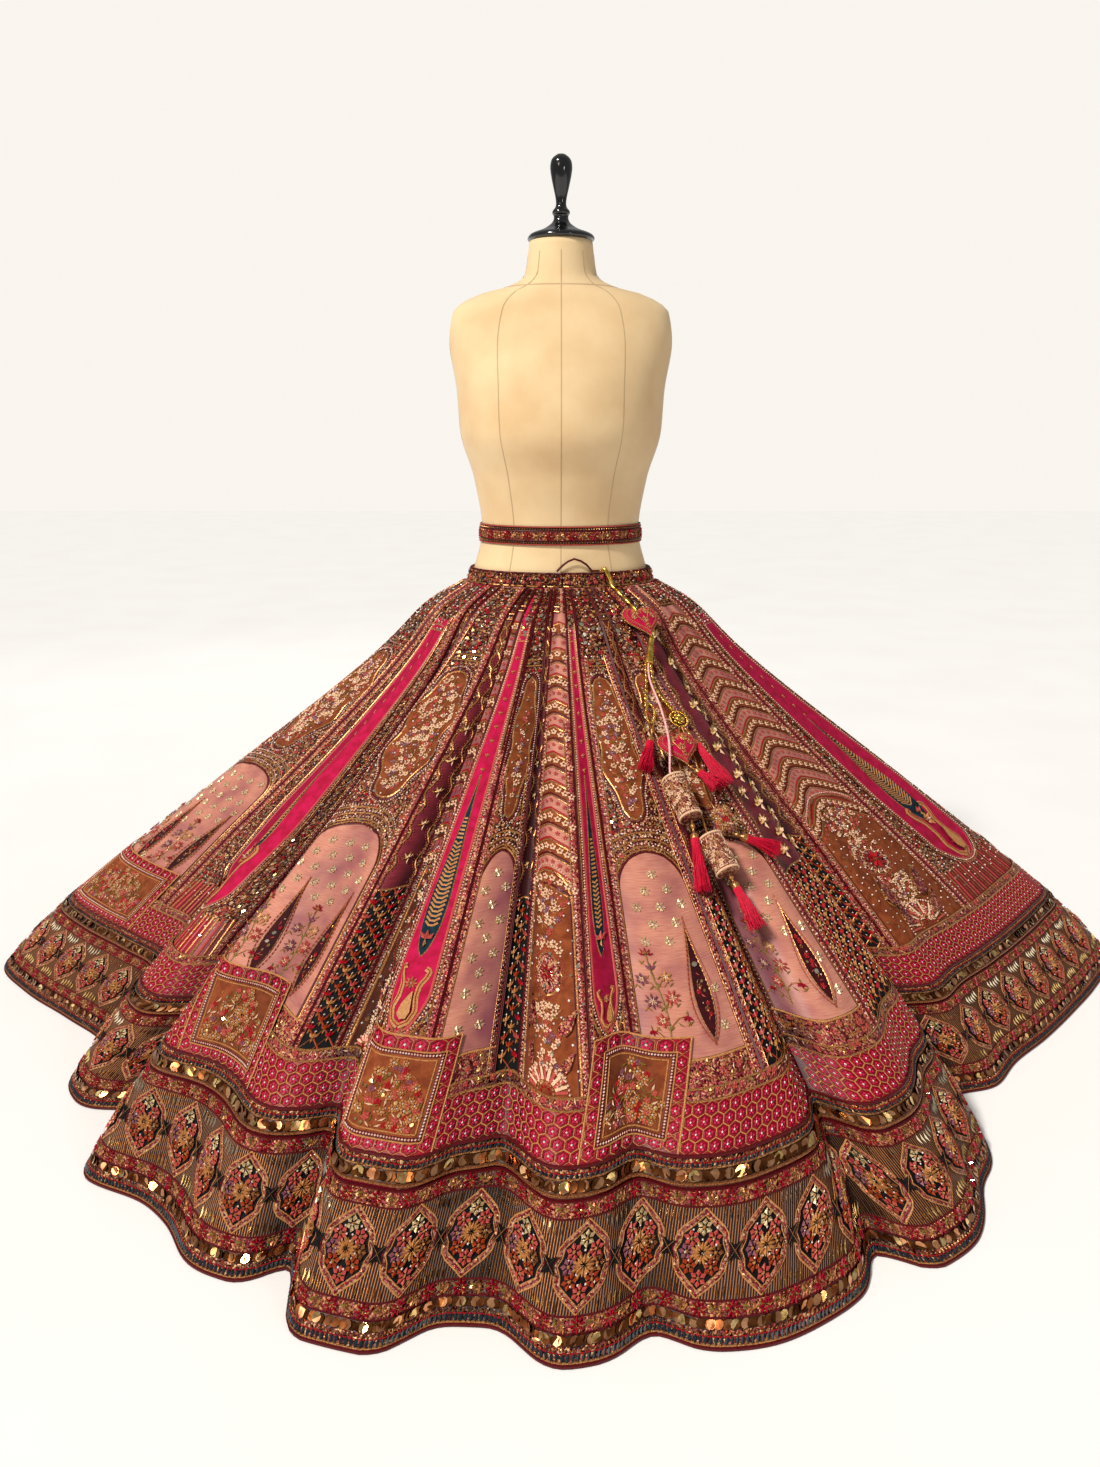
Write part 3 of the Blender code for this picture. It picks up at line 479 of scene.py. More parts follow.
class Artwork:
    """Patches, threads, beads and sequins for one piece of cloth."""

    def __init__(self, cloth, seed, raised=0.0):
        self.cloth, self.chance, self.parts, self.raised = cloth, np.random.default_rng(seed), [], raised

    def band(self, top, bottom, left, right, finish, lift=1.0, step=(0.0105, 0.013)):
        """A patch between two heights; left and right are functions of the distance down."""
        y = np.linspace(top, bottom, max(2, round((bottom - top) / step[1]) + 1))
        a, b = np.maximum(left(y), -self.cloth.half(y)), np.minimum(right(y), self.cloth.half(y))
        columns = max(3, round(np.max(b - a) / step[0]) + 1)
        s = np.linspace(0, 1, columns)
        x = a[:, None] + (b - a)[:, None] * s
        points = np.stack([x, np.broadcast_to(y[:, None], x.shape), np.full(x.shape, lift * LAYER)], axis=-1)
        self.parts.append((points.reshape(-1, 3), strip_faces(len(y), columns), finish, True))

    def ground(self, top, bottom, finish, lift=1.0):
        self.band(top, bottom, lambda y: -self.cloth.half(y), self.cloth.half, finish, lift)

    def patch(self, shape, finish, lift, step=(0.01, 0.01)):
        self.band(shape.top, shape.bottom, lambda y: shape.middle - np.maximum(shape.width(y), 0),
                  lambda y: shape.middle + np.maximum(shape.width(y), 0), finish, lift, step)

    def stroke(self, route, width, finish, lift=STITCH, rib=0.0005, step=0.009):
        """A ribbon or laid thread along a route, with a raised middle."""
        route = walk(route, step)
        ahead = unit(np.gradient(route, axis=0))
        side = np.stack([-ahead[:, 1], ahead[:, 0]], axis=1) * width / 2
        rows = [np.column_stack([route + side * share, np.full(len(route), lift * LAYER + rise)])
                for share, rise in ((-1, 0.0), (0, rib), (1, 0.0))]
        self.parts.append((np.stack(rows, axis=1).reshape(-1, 3), strip_faces(len(route), 3), finish, False))

    def beads(self, route, pitch, size, finish, motif="bead", lift=BEAD, turned=False):
        route = walk(route, pitch)
        ahead = np.gradient(route, axis=0)
        turn = np.degrees(np.arctan2(-ahead[:, 1], ahead[:, 0])) - 90 if turned else np.zeros(len(route))
        self.stamp(motif, route[:, 0], route[:, 1], turn, size, finish, lift)

    def on_cloth(self, route, margin):
        return route[abs(route[:, 0]) < self.cloth.half(route[:, 1]) - margin]

    def outline(self, shape, layers, ends=True):
        """Threads and bead rows round a shape; a layer is margin, width, finish, and "bead" for a row."""
        for margin, width, finish, *bead in layers:
            grown = shape.grown(margin, None if ends else 0.0)
            for sign in (-1, 1):
                route = self.on_cloth(grown.side(sign), width / 2)
                if len(route) > 2 and bead:
                    self.beads(route, width * 1.5, width / 2, finish)
                elif len(route) > 2:
                    self.stroke(route, width, finish)

    def stamp(self, motif, x, y, turn, size, finishes, lift=STITCH):
        """Copies of a motif: turn in degrees from upright, its reach, and its finishes in one string."""
        finishes = finishes.split()
        x, y, turn, size = np.broadcast_arrays(*map(np.ravel, (x, y, turn, size)))
        keep = abs(x) < self.cloth.half(y) - size * 0.55
        x, y, turn, size = x[keep], y[keep], np.radians(turn[keep]), size[keep]
        if not len(x):
            return
        c, s = np.cos(turn)[:, None] * size[:, None], np.sin(turn)[:, None] * size[:, None]
        for role, (points, faces) in MOTIFS[motif]:
            flat = np.stack([x[:, None] + points[:, 0] * c - points[:, 1] * s,
                             y[:, None] - points[:, 0] * s - points[:, 1] * c,
                             lift * LAYER + points[:, 2] * size[:, None]], axis=-1)
            shift = np.arange(len(x))[:, None, None] * len(points)
            self.parts.append((flat.reshape(-1, 3), (faces[None] + shift).reshape(-1, 3),
                               finishes[min(role, len(finishes) - 1)], False))

    def scatter(self, top, bottom, pitch, mix, inside=None, outside=(), inset=0.004, lift=STITCH):
        """Close but irregular stitching: a jittered grid of motifs drawn from a mix."""
        rows = np.arange(top + pitch / 2, bottom - pitch / 3, pitch * 0.88)
        if not len(rows):
            return
        reach = np.max(self.cloth.half(rows))
        x, y = np.meshgrid(np.arange(-reach, reach, pitch), rows)
        x[1::2] += pitch / 2
        x, y = x.ravel(), y.ravel()
        x = x + self.chance.uniform(-0.22, 0.22, len(x)) * pitch
        y = y + self.chance.uniform(-0.22, 0.22, len(x)) * pitch
        keep = (abs(x) < self.cloth.half(y) - inset) & (y > top + pitch * 0.3) & (y < bottom - pitch * 0.3)
        if inside is not None:
            keep &= inside.holds(x, y, pitch * 0.35)
        for shape in outside:
            keep &= ~shape.holds(x, y, -pitch * 0.4)
        x, y = x[keep], y[keep]
        shares = np.array([row[2] for row in mix])
        choice = self.chance.choice(len(mix), len(x), p=shares / shares.sum())
        for i, (motif, finishes, _, small, large) in enumerate(mix):
            chosen = choice == i
            count = int(chosen.sum())
            turns, sizes = self.chance.uniform(0, 360, count), self.chance.uniform(small, large, count)
            self.stamp(motif, x[chosen], y[chosen], turns, sizes / 1000, finishes, lift)

    def make(self, name):
        """Lays everything on the cloth as one mesh, in its own flat map and with its own finishes."""
        points, faces, threads, smooth = zip(*self.parts)
        starts = np.cumsum([0] + [len(part) for part in points])
        counts = [len(part) for part in faces]
        flat = np.concatenate(points)
        faces = np.concatenate([part + start for part, start in zip(faces, starts)])
        finishes = sorted(set(threads))
        slots = np.repeat([finishes.index(thread) for thread in threads], counts)
        smooth = np.repeat(smooth, counts)
        a, b, c = (flat[faces[:, i], :2] for i in range(3))
        area = (b[:, 0] - a[:, 0]) * (a[:, 1] - c[:, 1]) - (a[:, 1] - b[:, 1]) * (c[:, 0] - a[:, 0])
        faces[area < 0] = faces[area < 0][:, ::-1]
        points = self.cloth.at(flat[:, 0], flat[:, 1], flat[:, 2] + self.raised)
        points[:, 2] = np.maximum(points[:, 2], FLOOR_GAP)
        mesh = bpy.data.meshes.new(name)
        mesh.from_pydata(points.tolist(), [], faces.tolist())
        mesh.polygons.foreach_set("material_index", slots.astype(np.int32))
        mesh.polygons.foreach_set("use_smooth", smooth)
        uv = mesh.uv_layers.new(name="flat")
        uv.data.foreach_set("uv", (flat[faces.ravel(), :2] * (1, -1)).astype(np.float32).ravel())
        # fold height of each point, which the materials use for painted shade in the fold valleys
        folds = mesh.attributes.new("fold", "FLOAT", "POINT")
        depths = self.cloth.read(self.cloth.folds, flat[:, 0], flat[:, 1])
        folds.data.foreach_set("value", depths.astype(np.float32))
        for finish in finishes:
            mesh.materials.append(MATERIALS[finish])
        return put(name, mesh)


def object_from(name, bm, finish, smooth=True):
    for face in bm.faces:
        face.smooth = smooth
    mesh = bpy.data.meshes.new(name)
    bm.to_mesh(mesh)
    bm.free()
    mesh.materials.append(MATERIALS[finish])
    return put(name, mesh)


def shell(name, cloth, finish, thickness=SHELL, closed=False):
    """The cloth itself, as a thin closed wall with its flat map."""
    rows, columns = cloth.points.shape[:2]
    bm = bmesh.new()
    uv = bm.loops.layers.uv.new("flat")
    # fold height of each point, which the materials use for painted shade in the fold valleys
    fold = bm.verts.layers.float.new("fold")
    bmesh.ops.create_grid(bm, x_segments=columns - 1, y_segments=rows - 1, size=0.5)
    places = {}
    for vert in bm.verts:
        i, j = round((0.5 - vert.co.y) * (rows - 1)), round((vert.co.x + 0.5) * (columns - 1))
        places[vert] = (i, j)
        vert[fold] = cloth.folds[i, j]
    across = cloth.across - cloth.widths[:, None] / 2
    for face in bm.faces:
        for loop in face.loops:
            i, j = places[loop.vert]
            loop[uv].uv = (across[i, j], -cloth.downs[i])
    for vert, (i, j) in places.items():
        vert.co = cloth.points[i, j]
        vert.co.z = max(vert.co.z, thickness * 0.72)
    if closed:
        bmesh.ops.remove_doubles(bm, verts=bm.verts, dist=1e-5)
    piece = object_from(name, bm, finish)
    wall = piece.modifiers.new("wall", "SOLIDIFY")
    wall.thickness, wall.offset = thickness, -1
    return piece


# ---------------------------------------------------------------- what is stitched where
# A mix: motif, finishes of its parts, share, least and greatest reach in mm
DENSE = (
    ("flower", "thread_rose zari_gold", 15, 3.0, 4.6), ("flower", "thread_red zari_gold", 9, 3.0, 4.4),
    ("flower", "zari_gold thread_red", 8, 3.0, 4.4), ("stitch", "zari_gold", 10, 3.0, 5.0),
    ("stitch", "thread_rose", 14, 3.0, 5.0), ("stitch", "thread_green", 7, 3.0, 4.5),
    ("sequin", "sequin_gold", 16, 1.6, 2.4), ("bead", "bead_white", 16, 1.0, 1.5),
)
PALE = (
    ("stitch", "thread_cream", 22, 3.0, 4.4), ("stitch", "thread_gold", 22, 3.0, 4.4),
    ("flower", "thread_cream thread_crimson", 20, 2.6, 3.6), ("stitch", "thread_rose", 14, 2.6, 4.0),
    ("bead", "zari_gold", 14, 1.0, 1.4),
)
BLOSSOM = (
    ("flower", "thread_mauve crystal", 8, 3.6, 5.0), ("rosette", "thread_cream thread_rose", 18, 4.0, 5.8),
    ("flower", "thread_cream thread_crimson", 14, 3.6, 5.0), ("stitch", "thread_gold", 18, 3.0, 4.6),
    ("flower", "thread_rose thread_gold", 16, 3.4, 4.6), ("stitch", "thread_green", 10, 3.0, 4.4),
    ("bead", "crystal", 12, 1.1, 1.6),
)
DARK = (
    ("flower", "zari_antique thread_red", 12, 3.0, 4.4), ("flower", "thread_red zari_gold", 16, 3.0, 4.8),
    ("stitch", "zari_gold", 10, 3.0, 4.6), ("stitch", "thread_rose", 16, 3.0, 4.6),
    ("sequin", "mirror", 9, 2.2, 3.6), ("sequin", "sequin_gold", 18, 1.8, 2.8),
    ("bead", "bead_white", 12, 1.0, 1.4),
)
GARDEN = (
    ("rosette", "thread_gold crystal", 26, 4.2, 6.4), ("flower", "thread_rose bead_white", 16, 3.6, 5.2),
    ("flower", "thread_mauve zari_gold", 5, 3.4, 5.0), ("stitch", "thread_cream", 14, 3.4, 5.2),
    ("flower", "thread_red zari_gold", 12, 3.6, 5.0), ("stitch", "thread_green", 14, 3.4, 5.2),
    ("stitch", "zari_gold", 12, 3.4, 5.2), ("sequin", "sequin_gold", 10, 1.8, 2.6),
    ("bead", "bead_white", 8, 1.1, 1.6),
)
STRIP = (
    ("flower", "thread_rose zari_gold", 22, 3.4, 4.8), ("flower", "zari_gold thread_red", 18, 3.2, 4.6),
    ("stitch", "zari_gold", 14, 3.0, 4.5), ("stitch", "thread_cream", 10, 3.0, 4.2),
    ("sequin", "sequin_gold", 10, 1.6, 2.2),
)
SCROLL = (
    ("stitch", "zari_gold", 24, 3.4, 5.6), ("stitch", "zari_antique", 18, 3.4, 5.6),
    ("flower", "zari_gold thread_cream", 20, 3.2, 5.0), ("sequin", "sequin_gold", 12, 1.6, 2.4),
    ("stitch", "thread_rose", 8, 3.0, 4.5),
)
GLINTS = (("bead", "crystal", 3, 1.2, 1.8), ("sequin", "mirror", 1, 1.6, 2.4))
KNOTS = (("bead", "thread_gold", 1, 1.3, 1.8),)
STONES = (("bead", "crystal", 1, 1.1, 1.5),)


def round_top(share):
    """Half width of an arch: round over its first fifth, then straight."""
    return np.sqrt(np.clip(1 - (1 - np.minimum(share / 0.2, 1)) ** 2, 0, 1))


def lobed(width, lobes, depth, power):
    return lambda t: width * np.sin(math.pi * t) ** power * (1 + depth * np.cos(2 * math.pi * lobes * t))


def foil(width):
    """Half the width of a barbed lozenge: pointed ends, shoulders, and a lobe at the middle."""
    away, reach = (0, 0.16, 0.2, 0.5, 0.56, 0.9, 1.0), (1.0, 0.93, 0.84, 0.78, 0.66, 0.14, 0.0)
    return lambda t: width * np.interp(abs(2 * t - 1), away, reach)


def teardrop_half(width, low=1.75, power=0.85):
    return lambda t: width * np.sin(math.pi * t ** low) ** power


def half_drop(art, top, bottom, pitch_x, pitch_y, limit, motif, size, finishes, wobble=6.0, holes=()):
    """A sprig repeat in half drop, inside a limit given as half a width."""
    rows = np.arange(top + pitch_y / 2, bottom - size * 0.7, pitch_y / 2)
    for number, y in enumerate(rows):
        free = limit(y)
        room = max(free - size, 0.001 if free > size * 0.5 else 0.0)
        x = np.arange(-4, 5) * pitch_x + (pitch_x / 2 if number % 2 else 0)
        x = x[abs(x) < room]
        for hole in holes:
            x = x[~hole.holds(x, y, -size * 0.9)]
        turn = art.chance.uniform(-wobble, wobble, len(x))
        art.stamp(motif, x, y, turn, size, finishes)


def seam_trim(art):
    """Maroon piping and a rose trim with two rows of beads along both seams, less of it on narrow panels."""
    share = min(1.0, art.cloth.half(STRIP_TOP) / 0.055)
    y = np.arange(0.004, STRIP_TOP + 0.006, 0.012)
    for sign in (-1, 1):
        edge = np.stack([sign * (art.cloth.half(y) - 0.0009), y], axis=1)
        art.stroke(edge, 0.0018, "satin_maroon", 2.9, 0.0009)
        inner = edge[art.cloth.half(y) > 0.022] - (sign * 0.0052 * share, 0)
        if len(inner) < 2:
            continue
        art.stroke(inner, 0.0084 * share, "zardozi_rose", 2.5, 0.0004)
        row = (sign * 0.0018 * share, 0)
        art.beads(inner + row, 0.0058, 0.0015 * share, "thread_rose", lift=3.0)
        art.beads(inner - row, 0.0062, 0.0014 * share, "bead_white", lift=3.0)
        art.stroke(inner - (sign * 0.0048 * share, 0), 0.0016 * share, "zari_gold", 2.7)


def make_foot_bands():
    """The honeycomb band with its floral strip and framed squares, in the same lengths as the border."""
    for number, (start, end) in BORDER_LENGTHS:
        cloth = skirt_cloth(start, end, PANEL_LEVELS)
        art = Artwork(cloth, 150 + number, FOOT_RAISE)
        squares = squares_on(start, end, cloth)
        art.ground(STRIP_TOP, HONEYCOMB_TOP, "zardozi_rose")
        art.scatter(STRIP_TOP, HONEYCOMB_TOP, 0.008, STRIP, inset=0.003)
        art.ground(HONEYCOMB_TOP, BRAID_TOP, "silk_rani")
        reach = cloth.half(BRAID_TOP)
        fill_cells(art, -reach, reach, HONEYCOMB_TOP + 0.001, BRAID_TOP, [square for square, _ in squares])
        for y in (STRIP_TOP, HONEYCOMB_TOP):
            line_across(art, y, 0.0024, "zari_gold")
        for inner, outer in squares:
            framed_square(art, inner, outer)
        line_across(art, BRAID_TOP + 0.0018, 0.004, "satin_maroon", STITCH * 1.6, 0.001)
        toothed_line(art, BRAID_TOP + 0.0038, BRAID_TOP + 0.015)
        sequin_row(art, BRAID_TOP + 0.0212, 0.0116)
        line_across(art, cloth.length - 0.0022, 0.0036, "zari_antique", STITCH, 0.001)
        work = art.make(f"honeycomb_band_{number}")
        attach(work, "root")


def fill_cells(art, left, right, top, bottom, holes=(), lift=1.9):
    """A close net of embroidered hexagons, a whole number of them each way; holes stay free."""
    single = right - left < 0.022
    rows = max(1, round((bottom - top) / (0.0172 if single else 0.0134)))
    pitch_y = (bottom - top) / (rows + 0.15)
    size = pitch_y / (2.0 if single else 1.5)
    columns = max(1, round((right - left) / (size * math.sqrt(3))))
    pitch_x = (right - left) / columns
    for number in range(rows):
        y = top + (number + 0.58) * pitch_y
        x = left + (np.arange(columns + 1) + (0.0 if number % 2 and not single else 0.5)) * pitch_x
        for x0, x1, y0, y1 in holes:
            near = size * 0.3
            x = x[~((x > x0 - near) & (x < x1 + near) & (y > y0 - near) & (y < y1 + near))]
        x = x[(x > left + size * 0.4) & (x < right - size * 0.4)]
        art.stamp("cell", x, y, 0, size, "thread_gold thread_crimson crystal thread_pink", lift)


def framed_square(art, inner, outer):
    """Rust velvet with a bouquet, a bead edge, and a honeycomb frame round it."""
    x0, x1, y0, y1 = inner
    left, right, top, bottom = outer
    art.band(top, bottom, lambda y: left + 0 * y, lambda y: right + 0 * y, "silk_rani", 2.4)
    for cells in ((left, x0, top, bottom), (x1, right, top, bottom), (x0, x1, top, y0), (x0, x1, y1, bottom)):
        fill_cells(art, *cells, lift=3.2)
    for side in (((left, top), (right, top)), ((left, top), (left, bottom)), ((right, top), (right, bottom))):
        art.stroke(side, 0.0022, "thread_gold", 3.2, 0.0006)
    art.band(y0, y1, lambda y: x0 + 0 * y, lambda y: x1 + 0 * y, "velvet_rust", 3.8)
    box = [(x0, y0), (x1, y0), (x1, y1), (x0, y1), (x0, y0)]
    for inset, width, finish in ((0.0, 0.0044, "satin_maroon"), (0.0052, 0.0016, "thread_gold"),
                                 (-0.0034, 0.0018, "thread_gold")):
        edge = [(x + (inset if x == x0 else -inset), y + (inset if y == y0 else -inset)) for x, y in box]
        for side in zip(edge, edge[1:]):
            art.stroke(side, width, finish, 4.4, 0.0008)
    for side in zip(box, box[1:]):
        art.beads(side, 0.0034, 0.0014, "bead_white", lift=5.3)
    wide = (x1 - x0) / 2
    posy = Shape((x0 + x1) / 2, y0 + (y1 - y0) * 0.1, y1 - 0.007,
                 lambda t: wide * 0.94 * np.sin(math.pi * np.clip(t * 0.6 + 0.08, 0, 1)) ** 1.1)
    art.scatter(posy.top, posy.bottom, 0.0068, GARDEN, inside=posy, lift=4.5)
    sparse = Shape((x0 + x1) / 2, y0 + 0.008, y1 - 0.006, lambda t: wide - 0.008 + 0 * t)
    art.scatter(sparse.top, sparse.bottom, 0.017, KNOTS, inside=sparse, outside=(posy,), lift=4.4)


def glints(art, top, bottom, pitch=0.016, outside=(), lift=STITCH * 1.7):
    """Small crystals and mirror sequins all over the stitching; the crystals' near-white colour is a painted
    glint.
    """
    art.scatter(top, bottom, pitch, GLINTS, outside=outside, lift=lift)


def draw_waist(art, bottom=WAIST_WORK):
    """Close maroon and gold work with mirror sequins, crossed by a gold trellis."""
    art.ground(0.003, bottom, "zardozi_dark")
    art.scatter(0.004, bottom, 0.0092, DARK)
    glints(art, 0.006, bottom, 0.013)
    for y in (bottom - 0.004, bottom - 0.014):
        line_across(art, y, 0.0022, "zari_gold", rib=0.0005)


def draw_arch(art):
    cloth = art.cloth
    wide = cloth.half(0.55)
    shoulder = 0.439
    draw_waist(art)
    art.ground(WAIST_WORK, STRIP_TOP, "zardozi")
    head = Shape(0, 0.171, 0.398, lobed(min(0.05, cloth.half(0.27) * 0.72), 3, 0.15, 0.45))
    side = min(0.02, wide * 0.16)
    field = Shape(0, 0.445, 0.704, lambda t: (cloth.half(0.43 + 0.259 * t) - side) * round_top(t))
    art.patch(head, "velvet_rust", 1.8)
    art.outline(head, ((0.0, 0.0026, "zari_gold"), (0.0045, 0.0024, "satin_maroon"),
                       (0.0085, 0.0026, "bead_white", "bead")))
    art.scatter(head.top + 0.01, head.bottom - 0.01, 0.007, BLOSSOM, inside=head.grown(-0.008), lift=2.4)
    for margin in (0.008, 0.018, 0.028):
        crown = field.grown(margin, 0.0)
        route = np.concatenate([crown.side(-1)[:17][::-1], crown.side(1)[1:17]])
        art.stroke(route, 0.0024, "zari_gold")
        art.beads(route - (0, 0.0042), 0.0048, 0.0013, "bead_white")
    art.patch(field, "silk_pink", 1.9)
    art.outline(field, ((0.0, 0.003, "satin_maroon"), (0.0036, 0.002, "zari_gold")), False)
    art.scatter(WAIST_WORK, shoulder, 0.0094, DENSE, outside=(head.grown(0.01), field.grown(0.03)))
    art.scatter(shoulder, field.bottom, 0.0094, DENSE, outside=(field.grown(0.004, 0.0),))
    art.ground(field.bottom + 0.001, STRIP_TOP, "zardozi_rose", 2.0)
    art.scatter(field.bottom + 0.003, STRIP_TOP, 0.0092, STRIP, lift=2.4)
    line_across(art, field.bottom + 0.002, 0.0026, "thread_gold", 2.6)
    glints(art, 0.16, field.bottom, outside=(field,))
    holes = plants(art, wide) if wide > 0.045 else ()
    limit = lambda y: field.width(y) - 0.004
    half_drop(art, field.top + 0.01, field.bottom - 0.01, 0.028, 0.044, limit, "rosette", 0.0068,
              "zari_pale crystal", 30.0, holes)


def plants(art, wide):
    """Flowering plants and maroon cypresses at the foot of the silk; returns their outlines."""
    outlines = []
    for share, tree in ((-0.66, False), (-0.24, True), (0.22, False), (0.66, True)) if wide > 0.09 else (
            (-0.46, False), (0.4, True)):
        if tree:
            tall = Shape(share * wide, 0.545, 0.687, teardrop_half(0.011))
            art.patch(tall, "velvet_maroon", 2.8, (0.006, 0.009))
            for margin, finish in ((0.0, "zari_gold"), (0.005, "thread_rust")):
                for sign in (-1, 1):
                    art.beads(tall.grown(margin).side(sign), 0.0058, 0.0036, finish, "stitch", 3.2, True)
            art.scatter(0.575, 0.67, 0.0075, DARK, inside=tall.grown(-0.003), lift=3.2)
            outlines.append(tall)
        else:
            reach = min(wide * 0.4, 0.025)
            bouquet(art, share * wide, 0.578, 0.69, reach)
            swell = lambda t: reach * (0.45 + 0.65 * np.sin(2.6 * t))
            outlines.append(Shape(share * wide, 0.566, 0.695, swell))
    return outlines


# Up the stem, out in reaches, turn, reach, motif and its threads
BOUQUET = (
    (0.96, 0.00, 0, 0.0098, "fan_leaf", "thread_crimson thread_gold"),
    (0.8, 0.02, 0, 0.0086, "tulip", "thread_mauve thread_green"),
    (0.72, 0.6, 0, 0.0076, "rosette", "thread_gold bead_white"),
    (0.69, -0.62, 0, 0.0078, "rosette", "thread_mauve zari_gold"),
    (0.5, 0.48, 20, 0.0104, "star", "thread_rose bead_white"),
    (0.46, -0.52, 0, 0.01, "star", "thread_mauve bead_white"),
    (0.26, -0.3, 0, 0.0086, "rosette", "thread_rose zari_gold"),
    (0.3, 0.92, 175, 0.0082, "tulip", "thread_crimson thread_green"),
    (0.16, -0.84, 185, 0.007, "tulip", "thread_crimson thread_green"),
)


def bouquet(art, middle, top, base, reach):
    """A bending stem, close round blooms on both sides of it, hanging buds, and leaves between them."""
    def on_stem(share):
        return middle + 0.004 * np.sin(5 * share), base + (top - base) * share

    art.stroke(np.stack(on_stem(np.linspace(0, 1, 14)), axis=1), 0.0018, "thread_green", 2.6)
    for share, out, turn, size, motif, finishes in BOUQUET:
        root_x, root_y = on_stem(max(share - 0.12, 0.0))
        x, y = on_stem(share)[0] + out * reach, on_stem(share)[1]
        if out:
            branch = [(root_x, root_y), (root_x + out * reach * 0.6, y + 0.001), (x, y)]
            art.stroke(branch, 0.0014, "zari_gold", 2.6, step=0.006)
        art.stamp(motif, x, y, turn, size, finishes, 3.0)
        if motif in ("star", "rosette"):
            art.stamp("flower", x, y, turn + 30, size * 0.52, "thread_cream " + finishes.split()[0], 3.4)
        for lean in (50, -50, 140):
            art.stamp("stitch", x - 0.01 * math.sin(math.radians(lean + out * 40)), y + 0.009, lean, 0.0042,
                      ("thread_green", "thread_gold")[lean > 90], 2.7)


def draw_cypress(art):
    cloth = art.cloth
    top, waist = 0.088, 0.114
    draw_waist(art, waist)
    art.ground(waist, STRIP_TOP, "zardozi")

    def half_core(t):
        wide = cloth.half(top + (RAYS_TOP - top) * t) * (0.46 + 0.18 * t)
        return np.minimum(wide, 0.058) * np.clip((1 - t) / 0.08, 0, 1) ** 0.45

    core = Shape(0, top, RAYS_TOP, half_core)
    art.patch(core, "velvet_rani", 1.8, (0.009, 0.012))
    art.outline(core, ((0.0, 0.0032, "thread_rose"), (0.004, 0.0026, "bead_white", "bead"),
                       (0.0085, 0.0022, "zari_gold"), (0.0125, 0.0018, "satin_maroon")))
    art.scatter(waist, RAYS_TOP, 0.0094, DENSE, outside=(core.grown(0.014),))
    rays(art)
    middle = core.width(0.5)
    leaf = Shape(0, 0.33, 0.586, teardrop_half(min(middle * 0.6, 0.025), 2.5, 0.66))
    art.patch(leaf, "velvet_teal", 2.6, (0.006, 0.009))
    art.outline(leaf, ((0.0, 0.0024, "zari_gold"),))
    inner = leaf.grown(-0.003)
    for y in np.arange(leaf.top + 0.045, leaf.bottom - 0.034, 0.006):
        reach = inner.width(y)
        if reach > 0.002:
            art.stroke([(-reach, y - reach * 0.75), (0, y), (reach, y - reach * 0.75)], 0.0028, "thread_gold",
                       3.2, 0.0006, 0.007)
    art.stamp("tulip", 0, leaf.bottom - 0.02, 0, 0.012, "thread_rose thread_gold", 3.6)
    art.beads([(0, 0.14), (0, leaf.top - 0.006)], 0.024, 0.0042, "thread_gold", "tulip", 2.6)
    lyre(art, 0.671, min(core.width(0.62) * 0.78, 0.034))
    glints(art, 0.12, 0.724, outside=(core,))


def lyre(art, y, reach):
    """Two gold scrolls that rise round a paisley from one point."""
    line = np.array([(0.00, 0.00), (0.55, -0.25), (0.85, -0.85), (0.6, -1.5), (0.62, -2.15), (0.95, -2.6),
                     (1.05, -2.95), (0.7, -3.05)]) * reach * (0.86, 1.15)
    for sign in (-1, 1):
        route = line * (sign, 1) + (0, y)
        art.stroke(route, reach * 0.32, "thread_gold", 2.7, 0.001, 0.004)
        art.stroke(route, reach * 0.05, "thread_crimson", 4.4, 0.0006, 0.004)
    art.stamp("paisley", 0, y - reach * 1.15, 12, reach * 0.84, "thread_gold thread_crimson", 3.0)
    art.stamp("rosette", 0, y - reach * 0.95, 0, reach * 0.28, "thread_red bead_white", 3.8)
    art.stamp("star", 0, y - reach * 2.55, 0, reach * 0.4, "thread_gold bead_white", 3.0)


def rays(art):
    """Rani and gold rays spread below the rounded end."""
    art.ground(RAYS_TOP, STRIP_TOP, "silk_rani", 1.4)
    wide = art.cloth.half(0.68)
    for number, x in enumerate(np.arange(-wide, wide, 0.0082)):
        lean = x / wide * 0.35
        route = [(x, 0.668 + abs(x) * 0.04), (x + lean * 0.05, STRIP_TOP - 0.002)]
        art.stroke(route, 0.0038, ("zari_gold", "thread_rose", "zari_antique")[number % 3], STITCH, 0.0007)


def draw_plum(art):
    cloth = art.cloth
    top, foot, net = 0.078, 0.517, 0.522
    draw_waist(art, top)
    art.ground(top, net, "silk_plum", 0.9)
    trim = min(0.016, cloth.half(0.4) * 0.3)
    scallop = lambda y: cloth.half(y) - trim + 0.0045 * np.sin(y * 2 * math.pi / 0.045)
    y = np.linspace(top, foot, 90)
    for sign in (-1, 1):
        edge = np.stack([sign * scallop(y), y], axis=1)
        sides = (lambda y: sign * scallop(y), lambda y: sign * cloth.half(y))
        art.band(top, foot, *sides[::sign], "zardozi", 1.6, (0.006, 0.009))
        art.stroke(edge, 0.0024, "zari_gold", 2.4, 0.0007)
        art.beads(edge - (sign * 0.0036, 0), 0.005, 0.0012, "thread_rose", lift=1.8)
    strip = Shape(0, top, foot, lambda t: cloth.half(top + (foot - top) * t) - trim * 0.9)
    art.scatter(0.083, foot, 0.0098, SCROLL, outside=(strip.grown(0.003),), inset=0.005)
    limit = lambda y: cloth.half(y) - trim - 0.003
    size = min(0.015, cloth.half(0.4) * 0.55)
    half_drop(art, 0.088, foot, 0.04, 0.052, limit, "fan_leaf", size, "sequin_gold thread_cream")
    jaal(art, net, STRIP_TOP)


